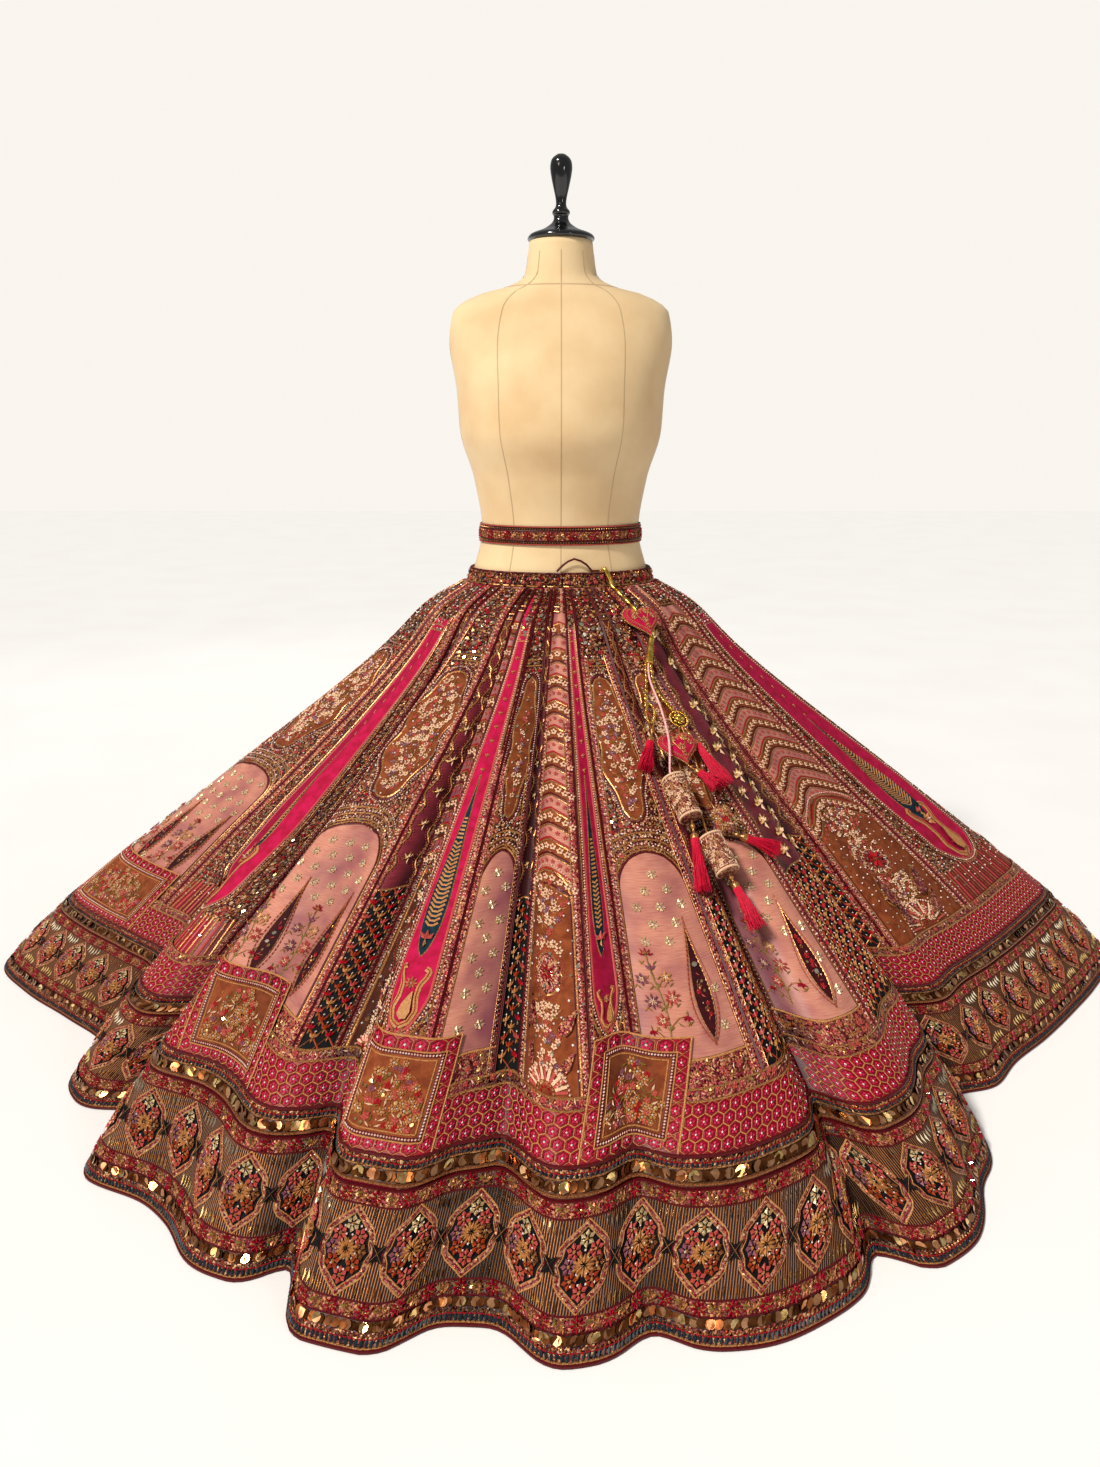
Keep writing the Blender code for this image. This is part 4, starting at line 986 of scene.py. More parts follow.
def jaal(art, top, bottom):
    """A gold diamond net on navy velvet, with a tulip in every diamond."""
    cloth = art.cloth
    art.ground(top, bottom, "velvet_navy", 1.2)
    pitch_x, pitch_y = 0.0176, 0.021
    reach = cloth.half(bottom)
    for sign in (-1, 1):
        lines = math.ceil(reach * 2 / pitch_x + (bottom - top) / pitch_y)
        for number in range(-lines, lines + 1):
            y = np.linspace(top, bottom, 14)
            x = number * pitch_x + sign * (y - top) / pitch_y * pitch_x
            route = art.on_cloth(np.stack([x, y], axis=1), 0.003)
            if len(route) > 1:
                art.stroke(route, 0.0017, ("zari_antique", "thread_rust")[sign > 0], step=0.012)
    for number, y in enumerate(np.arange(top + pitch_y * 0.5, bottom - 0.006, pitch_y / 2)):
        x = np.arange(-12, 13) * pitch_x + (pitch_x / 2 if number % 2 == 0 else 0)
        colours = ("thread_rose", "thread_rust", "thread_red", "thread_gold")
        for k in range(2):
            art.stamp("tulip", x[k::2], y + 0.001, 0, 0.008, colours[(number + k) % 4] + " thread_gold")
        art.stamp("bead", x, y - pitch_y * 0.36, 0, 0.0013, "crystal", STITCH * 1.5)
    for y in (top + 0.001, bottom - 0.001):
        art.stroke([(-reach, y), (reach, y)], 0.0028, "zari_gold")


# The velvet stripe of a chevron and the threads beside it: metres below its line, width, finish
CHEVRON = ((0.0, 0.015, "velvet_rust"), (-0.009, 0.0026, "zari_gold"), (0.009, 0.0026, "satin_maroon"),
           (0.012, 0.002, "zari_gold"), (-0.0122, 0.0022, "thread_red"))


def draw_chevron(art):
    cloth = art.cloth
    draw_waist(art, 0.06)
    art.ground(0.06, 0.486, "silk_pink", 0.9)
    for y in np.arange(0.088, 0.481, 0.043):
        reach = cloth.half(y) + 0.004
        t = np.linspace(-1, 1, 19)
        line = np.stack([t * reach, y + 0.62 * abs(t) ** 1.25 * reach], axis=1)
        for shift, width, finish in CHEVRON:
            route = art.on_cloth(line + (0, shift), 0.002)
            if len(route) > 2:
                art.stroke(route, width, finish, 2.0 if shift else 1.5, 0.0006)
        route = art.on_cloth(line, 0.004)
        if len(route) > 2:
            art.beads(route, 0.0105, 0.005, "thread_cream", "flower", 2.6)
            art.beads(route + (0, 0.0001), 0.0105, 0.0016, "thread_crimson", lift=5.0)
            art.beads(route + (0, 0.02), 0.0105, 0.0034, "thread_rose", "flower", 2.2)
    tree_arch(art)


def tree_arch(art):
    """A rust velvet arch with a tree of flowers, a scalloped sun, side paisleys and a half-round fan."""
    cloth = art.cloth
    art.ground(0.486, STRIP_TOP, "zardozi", 0.9)
    field = Shape(0, 0.463, STRIP_TOP, lambda t: (cloth.half(0.463 + 0.274 * t) - 0.01) * round_top(t))
    art.patch(field, "velvet_rust", 1.8)
    art.outline(field, ((0.0, 0.0034, "zari_gold"), (0.0045, 0.0026, "bead_white", "bead"),
                        (-0.004, 0.0018, "satin_maroon")), False)
    wide = cloth.half(0.56) - 0.01
    scale = min(wide / 0.046, 1.25)
    count = max(1, round(wide / 0.065))
    for number in range(count):
        middle = (number - (count - 1) / 2) * (2 * wide / count)
        sun = Shape(middle, 0.575, 0.627, lobed(0.024 * scale, 4, 0.12, 0.5))
        bower = lambda t: 0.034 * scale * (0.45 + 0.55 * abs(np.sin(3.5 * math.pi * t)))
        crown = Shape(middle, 0.48, 0.73, bower)
        art.scatter(crown.top, crown.bottom, 0.0076, BLOSSOM, inside=crown, outside=(sun.grown(0.006),),
                    lift=2.4)
        art.patch(sun, "zardozi_rose", 2.5, (0.007, 0.007))
        art.outline(sun, ((-0.005, 0.0024, "thread_cream", "bead"), (-0.009, 0.0018, "thread_crimson")))
        art.outline(sun, ((0.0, 0.0026, "zari_gold"), (0.0045, 0.0026, "thread_rose", "bead")))
        art.stamp("star", middle, 0.6, 0, 0.014 * scale, "thread_red zari_gold", 3.1)
        turns = np.arange(0, 360, 30)
        x, y = 0.019 * scale * np.sin(np.radians(turns)), 0.019 * scale * np.cos(np.radians(turns))
        art.stamp("stitch", middle + x, 0.6 + y, turns, 0.0042 * scale, "thread_cream", 3.1)
        for sign in (-1, 1):
            x = middle + sign * 0.032 * scale
            for y, size in ((0.656, 0.023 * scale), (0.7, 0.018 * scale)):
                art.stamp("paisley", x, y, sign * -14, size, "zardozi_rose thread_gold", 3.3)
                art.stamp("rosette", x, y + 0.004, 0, size * 0.4, "thread_gold thread_rose", 4.0)
        fan(art, middle, STRIP_TOP - 0.004, 0.036 * scale)
    glints(art, 0.49, 0.73, 0.017, lift=3.4)


def fan(art, x, y, reach):
    """A half-round sunburst of laid gold."""
    for turn in np.linspace(-84, 84, 13):
        a = math.radians(turn)
        route = [(x + reach * share * math.sin(a), y - reach * share * math.cos(a)) for share in (0.48, 0.98)]
        finish = "thread_cream" if round(turn / 14) % 2 else "thread_rose"
        art.stroke(route, 0.0034, finish, 3.6, 0.0007)
    for share, finish in ((0.4, "thread_gold"), (1.05, "bead_white"), (0.22, "thread_red")):
        a = np.linspace(-math.pi / 2, math.pi / 2, 15)
        route = np.stack([x + reach * share * np.sin(a), y - reach * share * np.cos(a)], axis=1)
        art.beads(route, 0.005, 0.0017, finish, lift=3.8)


DRAWINGS = {"arch": (draw_arch, "silk_pink"), "cypress": (draw_cypress, "velvet_rani"),
            "plum": (draw_plum, "silk_plum"), "chevron": (draw_chevron, "silk_pink")}


def squares_on(start, end, cloth):
    """Inner and outer edges of the framed squares on a length of cloth, in its own metres."""
    found, half = [], cloth.half(0.76)
    stops = cloth.columns[np.argmin(abs(cloth.downs - 0.76))]
    for first, last in SQUARES:
        if start < first and last < end:
            shares = [(edge - start) / (end - start) * (cloth.points.shape[1] - 1) for edge in (first, last)]
            x0, x1 = (float(np.interp(share, stops, Cloth.SHARES)) * 2 * half - half for share in shares)
            found.append(((x0, x1, *SQUARE_INNER), (x0 - 0.0178, x1 + 0.0178, SQUARE_TOP, BRAID_TOP)))
    return found


def make_panels():
    start = PANELS_START
    for number, (end, kind) in enumerate(PANELS, 1):
        node = f"kali_{number:02d}_{kind}"
        cloth = skirt_cloth(start, end, PANEL_LEVELS)
        draw, ground = DRAWINGS[kind]
        panel = shell(node + "_cloth", cloth, ground)
        art = Artwork(cloth, 100 + number)
        draw(art)
        seam_trim(art)
        work = art.make(node + "_embroidery")
        dress(node, panel, work)
        start = end


def dress(node, *pieces):
    """The pieces ride on the object in place of their CAD node, which is hidden."""
    for piece in pieces:
        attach(piece, "root")
        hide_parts(node)


# ---------------------------------------------------------------- border, casing and belt
def row_of(art, y, pitch, motif, size, finishes, turn=0.0, lift=STITCH, shift=0.5, jitter=0.0):
    """A whole number of motifs in a row across the cloth."""
    half = art.cloth.half(y)
    count = max(1, round(2 * half / pitch))
    x = ((np.arange(count) + shift) / count * 2 - 1) * half
    turns = turn + art.chance.uniform(-jitter, jitter, count)
    art.stamp(motif, x, y, turns, size, finishes, lift)


def line_across(art, y, width, finish, lift=STITCH, rib=0.0006):
    half = art.cloth.half(y)
    art.stroke([(-half, y), (half, y)], width, finish, lift, rib)


def sequin_row(art, y, height):
    """Large overlapping sequins, each tilted its own way, so that single ones flash."""
    art.ground(y - height / 2, y + height / 2, "silk_brown")
    row_of(art, y, 0.0084, "big_sequin", height / 2, "sequin_brown", jitter=180)
    row_of(art, y, 0.0168, "big_sequin", height / 2, "sequin_copper", 0, STITCH + 3 / 7, 0.25, 180)
    row_of(art, y, 0.0504, "big_sequin", height / 2, "sequin_gold", 0, STITCH + 5 / 7, 0.6, 120)


def flower_strip(art, top, bottom):
    """Gold flowers and red stars between two bead rows."""
    middle = (top + bottom) / 2
    art.ground(top, bottom, "zardozi_rose")
    for y in (top + 0.001, bottom - 0.001):
        line_across(art, y, 0.002, "satin_maroon")
    for y in (top + 0.0032, bottom - 0.0032):
        row_of(art, y, 0.0052, "bead", 0.0012, "zari_gold")
    row_of(art, middle, 0.034, "star", 0.0086, "thread_crimson mirror", 12, STITCH * 1.5)
    row_of(art, middle, 0.034, "flower", 0.0054, "zari_antique thread_mauve", 20, STITCH, 0.0)
    row_of(art, middle + 0.002, 0.017, "sprig", 0.0054, "thread_gold zari_gold", 70, STITCH, 0.25, 60)
    row_of(art, middle - 0.002, 0.017, "stitch", 0.0048, "thread_green", 70, STITCH, 0.75, 60)
    row_of(art, middle, 0.0085, "sequin", 0.0018, "sequin_gold", 0, STITCH, 0.4, 90)


def toothed_line(art, top, bottom):
    """Gold beads over dark teeth on a gold line."""
    art.ground(top, bottom, "zardozi")
    tall = bottom - top
    row_of(art, top + tall * 0.24, 0.005, "bead", 0.0014, "zari_gold")
    row_of(art, top + tall * 0.62, 0.0052, "tooth", tall * 0.3, "thread_teal")
    line_across(art, bottom - 0.0012, 0.002, "zari_gold")
    line_across(art, top + tall * 0.4, 0.0012, "thread_red")


def medallions(art, top, bottom):
    """Jewelled medallions in twisted ogee frames on ground laid with upright gold."""
    cloth, middle = art.cloth, (top + bottom) / 2
    art.ground(top, bottom, "zari_upright")
    half = cloth.half(middle)
    count = max(1, round(2 * half / 0.066))
    tall, pitch = (bottom - top) / 2, half / count
    for x in ((np.arange(count) + 0.5) / count * 2 - 1) * half:
        frame = Shape(x, middle - tall, middle + tall, foil(pitch * 0.97))
        art.patch(frame, "velvet_black", 1.6, (0.0078, 0.0042))
        for sign in (-1, 1):
            twist = art.on_cloth(frame.grown(-0.0034).side(sign, 34), 0.003)
            art.beads(twist, 0.0046, 0.0024, "thread_crimson", "stitch", STITCH * 2.4, True)
        art.outline(frame, ((-0.0034, 0.005, "zardozi_pad"), (0.0, 0.0015, "thread_gold"),
                            (-0.0066, 0.0012, "thread_gold")))
        jewels(art, x, middle, tall * 0.61)
    gaps = (np.arange(count + 1) / count * 2 - 1) * half
    for turn in (-38, 38):
        art.stamp("tooth", gaps, middle, turn, 0.012, "velvet_black")
        art.stamp("stitch", gaps, middle, turn, 0.0125, "thread_gold", STITCH * 1.4)
    for side, y in ((1, top + 0.009), (-1, bottom - 0.009)):
        for shift in np.linspace(-0.013, 0.013, 5):
            art.stamp("bugle", gaps + shift, y - side * abs(shift) * 0.25, 0, 0.0064,
                      "mirror" if side > 0 else "sequin_gold")


def jewels(art, x, y, reach):
    """The flower heart of a medallion: a rosette, petals in three colours, and stones."""
    lift = 3.2
    around = np.arange(8) * 45.0
    out = np.where(around % 180 == 0, reach * 0.92, np.where(around % 90 == 0, reach * 0.66, reach * 0.72))
    a = np.radians(around)
    colours = ("zari_pale", "thread_rose", "zari_antique", "thread_rust", "thread_rose", "thread_rust",
               "thread_mauve", "thread_rose")
    for i, finish in enumerate(colours):
        art.stamp("rosette", x + out[i] * math.sin(a[i]) * 0.86, y - out[i] * math.cos(a[i]), around[i],
                  0.0084, finish + " thread_gold", lift)
    heart = Shape(x, y - reach, y + reach, lambda t: reach * 0.75 + 0 * t)
    art.scatter(y - reach, y + reach, 0.0085, STONES, inside=heart, lift=lift * 1.3)
    near, b = reach * 0.36, a + 0.39
    art.stamp("stitch", x + near * np.sin(b), y - near * np.cos(b), -around - 22, 0.0064, "thread_gold", lift)
    art.stamp("star", x, y, 0, 0.0104, "thread_gold mirror", lift * 1.25)


def make_border():
    for number, (start, end) in BORDER_LENGTHS:
        node = f"hem_border_{number}"
        cloth = skirt_cloth(start, end, BORDER_LEVELS)
        band = shell(node + "_cloth", cloth, "silk_brown")
        art = Artwork(cloth, 200 + number)
        bottom = cloth.length
        line_across(art, 0.0012, 0.002, "satin_maroon", 1.0, 0.001)
        flower_strip(art, 0.0022, 0.02)
        medallions(art, 0.02, bottom - 0.0444)
        flower_strip(art, bottom - 0.0444, bottom - 0.0278)
        sequin_row(art, bottom - 0.023, 0.0096)
        toothed_line(art, bottom - 0.0182, bottom - 0.0038)
        line_across(art, bottom - 0.002, 0.0038, "satin_maroon", 1.0, 0.0014)
        work = art.make(node + "_embroidery")
        kalis_over(start, end)
        dress(node, band, work)


def kalis_over(start, end):
    """The panels that a border length hangs from."""
    starts = (PANELS_START, *(last for last, _ in PANELS))
    rows = enumerate(zip(starts, PANELS), 1)
    return [f"kali_{number:02d}_{kind}_cloth" for number, (first, (last, kind)) in rows
            if first < end and last > start]


def make_casing():
    """The waist casing: embroidered, gathered on its string, with a frilled top edge."""
    def wave(turn, share):
        frill = 0.0007 * np.cos(np.radians(turn * 97 + 30 * np.sin(np.radians(turn * 5)))) * (1 - share)
        return GATHER_DEPTH * 0.8 * (0.5 + 0.5 * np.cos(np.radians(turn * GATHERS))) + frill

    cloth = hoop_cloth(CASING_TOP_Z, WAIST_Z + 0.0002, FORM_CLEARANCE + 0.003, 6, 720, wave)
    band = shell("waist_casing_cloth", cloth, "zardozi_dark", 0.0024, closed=True)
    art = Artwork(cloth, 300)
    line_across(art, 0.0014, 0.0028, "satin_maroon", 1.0, 0.0008)
    row_of(art, 0.0045, 0.0048, "bead", 0.0012, "zari_gold")
    art.scatter(0.005, cloth.length - 0.002, 0.0072, DENSE, inset=0.002)
    line_across(art, cloth.length - 0.0012, 0.0024, "zari_gold", 1.0)
    work = art.make("waist_casing_embroidery")
    dress("waist_casing", band, work)


def make_belt():
    cloth = hoop_cloth(BELT_Z + BELT_HEIGHT / 2, BELT_Z - BELT_HEIGHT / 2, FORM_CLEARANCE + 0.002, 6, 240)
    band = shell("belt_cloth", cloth, "silk_brown", 0.0018, closed=True)
    art = Artwork(cloth, 301)
    for sign, y in ((1, 0.0), (-1, cloth.length)):
        line_across(art, y + sign * 0.001, 0.0018, "thread_rose", 1.0, 0.001)
        row_of(art, y + sign * 0.0042, 0.004, "bead", 0.0013, "zari_gold")
    flower_strip(art, 0.006, cloth.length - 0.006)
    work = art.make("belt_embroidery")
    dress("belt", band, work)


# ---------------------------------------------------------------- dress form and stand
def make_form():
    """The jersey-covered torso, with its seams."""
    top, bottom = FORM_Z[-1], FORM_Z[0]
    bm = bmesh.new()
    bmesh.ops.create_grid(bm, x_segments=96, y_segments=90, size=0.5)
    for vert in bm.verts:
        z = bottom + (top - bottom) * (vert.co.y + 0.5)
        turn = 360 * (vert.co.x + 0.5)
        vert.co = polar(turn, form_radius(turn, z), z)
    bmesh.ops.remove_doubles(bm, verts=bm.verts, dist=1e-6)
    bmesh.ops.holes_fill(bm, edges=[edge for edge in bm.edges if edge.is_boundary])
    bmesh.ops.recalc_face_normals(bm, faces=bm.faces)
    body = object_from("dress_form_cover", bm, "jersey_cream")
    cloth = hoop_cloth(top - 0.002, bottom + 0.02, 0.0, 90, 180)
    art = Artwork(cloth, 302)
    downs = cloth.downs[2:-2]
    for turn in (0, 40, -40, 90, -90, 145, -145, 180):
        x = turn / 180 * cloth.half(downs) * 0.9995
        art.stroke(np.stack([x, downs], axis=1), 0.0016, "jersey_seam", CLOSE, 0.0003)
    line_across(art, cloth.downs[8], 0.002, "jersey_seam", CLOSE, 0.0004)
    dress("dress_form", body, art.make("dress_form_seams"))


def turned(name, profile, finish, steps, turn=None, flutes=0, depth=0.0):
    """A piece turned round Z from (radius, height) pairs, closed at both ends; turn places it."""
    bm = bmesh.new()
    points = [(0.0, profile[0][1]), *profile, (0.0, profile[-1][1])]
    verts = [bm.verts.new((radius, 0, z)) for radius, z in points]
    edges = [bm.edges.new(pair) for pair in zip(verts, verts[1:])]
    bmesh.ops.spin(bm, geom=verts + edges, axis=(0, 0, 1), angle=2 * math.pi, steps=steps, use_merge=True)
    bmesh.ops.remove_doubles(bm, verts=bm.verts, dist=1e-6)
    bmesh.ops.recalc_face_normals(bm, faces=bm.faces)
    for vert in bm.verts:
        if flutes:
            around = math.atan2(vert.co.y, vert.co.x)
            swell = 1 + depth * math.cos(flutes * around)
            vert.co.x, vert.co.y = vert.co.x * swell, vert.co.y * swell
    if turn is not None:
        bmesh.ops.transform(bm, matrix=turn, verts=bm.verts)
    return object_from(name, bm, finish)


def rounded(profile, cut=0.28, times=2):
    """The same profile with its corners cut off, which rounds them."""
    for _ in range(times):
        smooth = [profile[0]]
        for (r0, z0), (r1, z1) in zip(profile, profile[1:]):
            along, up = (r1 - r0) * cut, (z1 - z0) * cut
            smooth += [(r0 + along, z0 + up), (r1 - along, z1 - up)]
        profile = smooth + [profile[-1]]
    return profile


def make_stand():
    z = FORM_Z[-1] + SEAM_GAP
    plate = ((0.046, 0.000), (0.049, 0.002), (0.049, 0.006), (0.044, 0.01), (0.028, 0.015), (0.018, 0.021))
    knob = ((0.012, 0.026), (0.01, 0.034), (0.013, 0.037), (0.013, 0.041), (0.0075, 0.046),
            (0.0075, 0.056), (0.011, 0.07), (0.0155, 0.09), (0.0165, 0.101), (0.014, 0.11), (0.006, 0.1155))
    profile = rounded([(radius, z + rise) for radius, rise in plate + knob])
    dress("finial", turned("finial_lacquer", profile, "lacquer_black", 64))
    base = ((0.17, 0.0), (0.17, 0.0115), (0.169, 0.0138), (0.167, 0.015), (0.03, 0.015))
    dress("stand_base", turned("stand_base_lacquer", base, "lacquer_black", 96))
    pole = ((0.0155, 0.0153), (0.016, 0.0158), (0.016, FORM_Z[0] - 0.0008), (0.0155, FORM_Z[0] - SEAM_GAP))
    dress("stand_pole", turned("stand_pole_tube", pole, "steel_brushed", 40))


# ---------------------------------------------------------------- drawstring and latkans
def rest_cone(azimuth, z):
    """A point on the cone that touches the skirt's ridges."""
    level = min(max(1 - z / WAIST_Z, 0.0), 1.0)
    return Vector(polar(azimuth, cone_radius(azimuth, level, LATKAN_REST_RADIUS), z))


def rest_frame(azimuth, z):
    """Axes on the rest cone: towards larger azimuths, up the slope, out of the cloth."""
    across = (rest_cone(azimuth + 0.5, z) - rest_cone(azimuth - 0.5, z)).normalized()
    along = (rest_cone(azimuth, z + 0.003) - rest_cone(azimuth, z - 0.003)).normalized()
    return across, along, across.cross(along).normalized()


def rest_point(azimuth, z, lift):
    return rest_cone(azimuth, z) + rest_frame(azimuth, z)[2] * lift


def spot(name):
    return rest_point(*SPOTS[name])


def over_casing(azimuth, out, rise):
    """A point this far out from the form and over the casing's top edge."""
    return Vector(polar(azimuth, form_radius(azimuth, CASING_TOP_Z) + out, CASING_TOP_Z + rise))


def axis_matrix(start, end):
    turn = (end - start).to_track_quat("Z", "Y").to_matrix().to_4x4()
    return Matrix.Translation(start) @ turn


def smooth_route(points, spacing):
    """Points about spacing apart on a smooth curve through the given ones."""
    ends = [points[0] * 2 - points[1]] + list(points) + [points[-1] * 2 - points[-2]]
    route = []
    for a, b, c, d in zip(ends, ends[1:], ends[2:], ends[3:]):
        count = max(1, round((c - b).length / spacing))
        for i in range(count):
            s = i / count
            route.append(0.5 * (2 * b + (c - a) * s + (2 * a - 5 * b + 4 * c - d) * s ** 2
                                + (3 * b - a - 3 * c + d) * s ** 3))
    route.append(points[-1])
    return route


def thread_curve(name, routes, radius, finish, cyclic=False, resolution=2):
    """Round threads along routes; a route may give its own radius shares."""
    curve = bpy.data.curves.new(name, "CURVE")
    curve.dimensions, curve.bevel_depth, curve.bevel_resolution = "3D", radius, resolution
    curve.use_fill_caps = True
    for route in routes:
        spline = curve.splines.new("POLY")
        spline.points.add(len(route) - 1)
        spline.use_cyclic_u = cyclic
        for target, point in zip(spline.points, route):
            target.co = (*point[:3], 1.0)
            target.radius = point[3] if len(point) > 3 else 1.0
    curve.materials.append(MATERIALS[finish])
    return put(name, curve)


def threads(name, routes, radius, finish, cyclic=False, resolution=1):
    """The same as a mesh."""
    source = thread_curve(name + "_route", routes, radius, finish, cyclic, resolution)
    mesh = bpy.data.meshes.new_from_object(source.evaluated_get(bpy.context.evaluated_depsgraph_get()))
    curve = source.data
    bpy.data.objects.remove(source)
    bpy.data.curves.remove(curve)
    for face in mesh.polygons:
        face.use_smooth = True
    return put(name, mesh)


def circle(turn, radius, z=0.0):
    """A closed loop of points round an axis, each with the axis as its normal, for a rope."""
    axis = (turn.to_3x3() @ Vector((0, 0, 1))).normalized()
    return [(turn @ Vector((radius * math.cos(a), radius * math.sin(a), z)), axis)
            for a in np.linspace(0, 2 * math.pi, 60, endpoint=False)]


def rope(name, loop, radius, turns, finish):
    """A cord of two twisted strands round a closed loop of points with a normal at each."""
    count = turns * 8
    stops = np.linspace(0, len(loop), count, endpoint=False)
    grid = np.arange(len(loop) + 1)
    rows = [np.array([*vectors, vectors[0]]).T for vectors in zip(*loop)]
    route, out = (np.stack([np.interp(stops, grid, line) for line in row], axis=1) for row in rows)
    out = unit(out)
    ahead = unit(np.roll(route, -1, axis=0) - np.roll(route, 1, axis=0))
    side = np.cross(out, ahead)
    routes = []
    for strand in (0, 0.5):
        a = (2 * math.pi * (np.arange(count) / 8 + strand))[:, None]
        routes.append(route + (out * np.cos(a) + side * np.sin(a)) * radius * 0.55)
    return threads(name, routes, radius * 0.55, finish, cyclic=True)


def gold_beads(name, points):
    """Gilt balls and barrels threaded on a string, by turns."""
    route = smooth_route(points, 0.002)
    lengths = along_line(np.array(route))
    count = max(3, int(lengths[-1] / 0.0078))
    bm = bmesh.new()
    for number in range(count):
        radius, stretch = ((0.0026, 1.5), (0.0034, 1.0))[number % 2]
        at = (number + 0.5) / count * lengths[-1]
        i = int(np.searchsorted(lengths, at, side="right")) - 1
        point = route[i].lerp(route[i + 1], (at - lengths[i]) / (lengths[i + 1] - lengths[i]))
        place = axis_matrix(point, point + route[i + 1] - route[i])
        size = Matrix.Diagonal((radius, radius, radius * stretch, 1))
        bmesh.ops.create_uvsphere(bm, u_segments=12, v_segments=8, radius=1, matrix=place @ size)
    beads = object_from(name + "_beads", bm, "brass_gilt")
    dress(name, beads)
    return beads


def off_face(face, away, towards):
    """Where the middle of a cord that leans away from a face starts, a seam's gap off it."""
    return face + away * (SEAM_GAP + CORD_RADIUS * math.sin(away.angle(towards - face)))


def off_ring(ring, towards):
    centre, normal = ring
    flat = towards - centre
    flat = (flat - normal * flat.dot(normal)).normalized()
    return off_face(centre + flat * (RING_RADIUS + RING_WIRE), flat, towards)


def heart_outline(a):
    x = np.sin(a) ** 3
    y = (13 * np.cos(a) - 5 * np.cos(2 * a) - 2 * np.cos(3 * a) - np.cos(4 * a)) / 16
    return x * HEART_SIZE / 2, y * HEART_SIZE / 2


class HeartFace:
    """The domed front of a heart, to stitch on as on cloth: metres across and down from its middle."""

    def __init__(self, centre, frame):
        self.centre, self.frame, self.folds = np.array(centre), [np.array(axis) for axis in frame], None
        x, y = heart_outline(np.linspace(0, 2 * math.pi, 181))
        order = np.argsort(np.arctan2(x, y))
        self.angles, self.reach = np.arctan2(x, y)[order], np.hypot(x, y)[order]

    def half(self, y):
        return np.full(np.shape(y), HEART_SIZE / 2)

    def read(self, folds, x, y):
        return np.full(len(x), CLOTH_LIGHT)

    def at(self, x, y, lift):
        share = np.clip(np.hypot(x, y) / np.interp(np.arctan2(x, -y), self.angles, self.reach), 0, 0.999)
        rise = HEART_WALL / 2 * (1 - share ** 3.2) ** 0.5 + lift
        across, along, out = self.frame
        return self.centre + x[:, None] * across - y[:, None] * along + rise[:, None] * out


def make_heart(name):
    """A padded velvet heart with gold sprays and a twisted rim; returns its tip, its cord's seat, and up."""
    azimuth, z, lift = SPOTS[name]
    centre, (across, along, out) = rest_point(azimuth, z, lift), rest_frame(azimuth, z)
    bm = bmesh.new()
    bmesh.ops.create_uvsphere(bm, u_segments=56, v_segments=22, radius=1)
    for vert in bm.verts:
        spread, rise = math.hypot(vert.co.x, vert.co.y), vert.co.z
        x, y = heart_outline(math.atan2(vert.co.x, vert.co.y))
        share = spread ** 0.62
        vert.co = centre + across * (x * share) + along * (y * share) + out * (rise * HEART_WALL / 2)
    bmesh.ops.recalc_face_normals(bm, faces=bm.faces)
    pad = object_from(name + "_pad", bm, "velvet_fuchsia")
    art, jewel = Artwork(HeartFace(centre, (across, along, out)), len(name)), "thread_gold mirror"
    for side in (-1, 1):
        stem = [(side * 0.001, 0.013), (side * 0.006, 0.002), (side * 0.01, -0.008)]
        art.stroke(stem, 0.0014, "zari_gold", CLOSE, 0.0005, 0.004)
        for x, y, turn in ((12, -1, -70), (2, 1, 40), (15, -8, -60), (6, -9, 30)):
            art.stamp("stitch", side * x / 1000, y / 1000, side * turn, 0.0048, "zari_gold", CLOSE)
        art.stamp("flower", side * 0.0095, -0.0105, 0, 0.0066, jewel, CLOSE * 1.5)
        art.stamp("rosette", side * 0.0155, -0.002, 0, 0.005, jewel, CLOSE * 1.5)
    art.stamp("rosette", 0, 0.004, 0, 0.0058, jewel, CLOSE * 1.5)
    art.stamp("star", 0, 0.015, 0, 0.0046, jewel, CLOSE)
    x, y = heart_outline(np.linspace(0, 2 * math.pi, 61))
    for share, size, finish in ((0.9, 0.0013, "thread_rose"), (0.83, 0.0009, "thread_gold")):
        art.beads(np.stack([x * share, -y * share], axis=1), size * 2.4, size, finish, lift=CLOSE)
    work = art.make(name + "_embroidery")
    edge = [heart_outline(a) for a in np.linspace(0, 2 * math.pi, 120, endpoint=False)]
    loop = [(centre + across * x + along * y, out) for x, y in edge]
    rim = rope(name + "_rim", loop, 0.0016, 46, "zari_gold")
    dress(name, pad, work, rim)
    outline = [heart_outline(math.radians(turn)) for turn in range(0, 360, 15)]
    lowest = min(y for _, y in outline)
    (x_1, y_1), (x_2, y_2) = outline[1:3]
    seat = y_1 + (y_2 - y_1) * (CORD_RADIUS + SEAM_GAP * 1.5 - x_1) / (x_2 - x_1)
    return centre + along * lowest, centre + along * seat, along


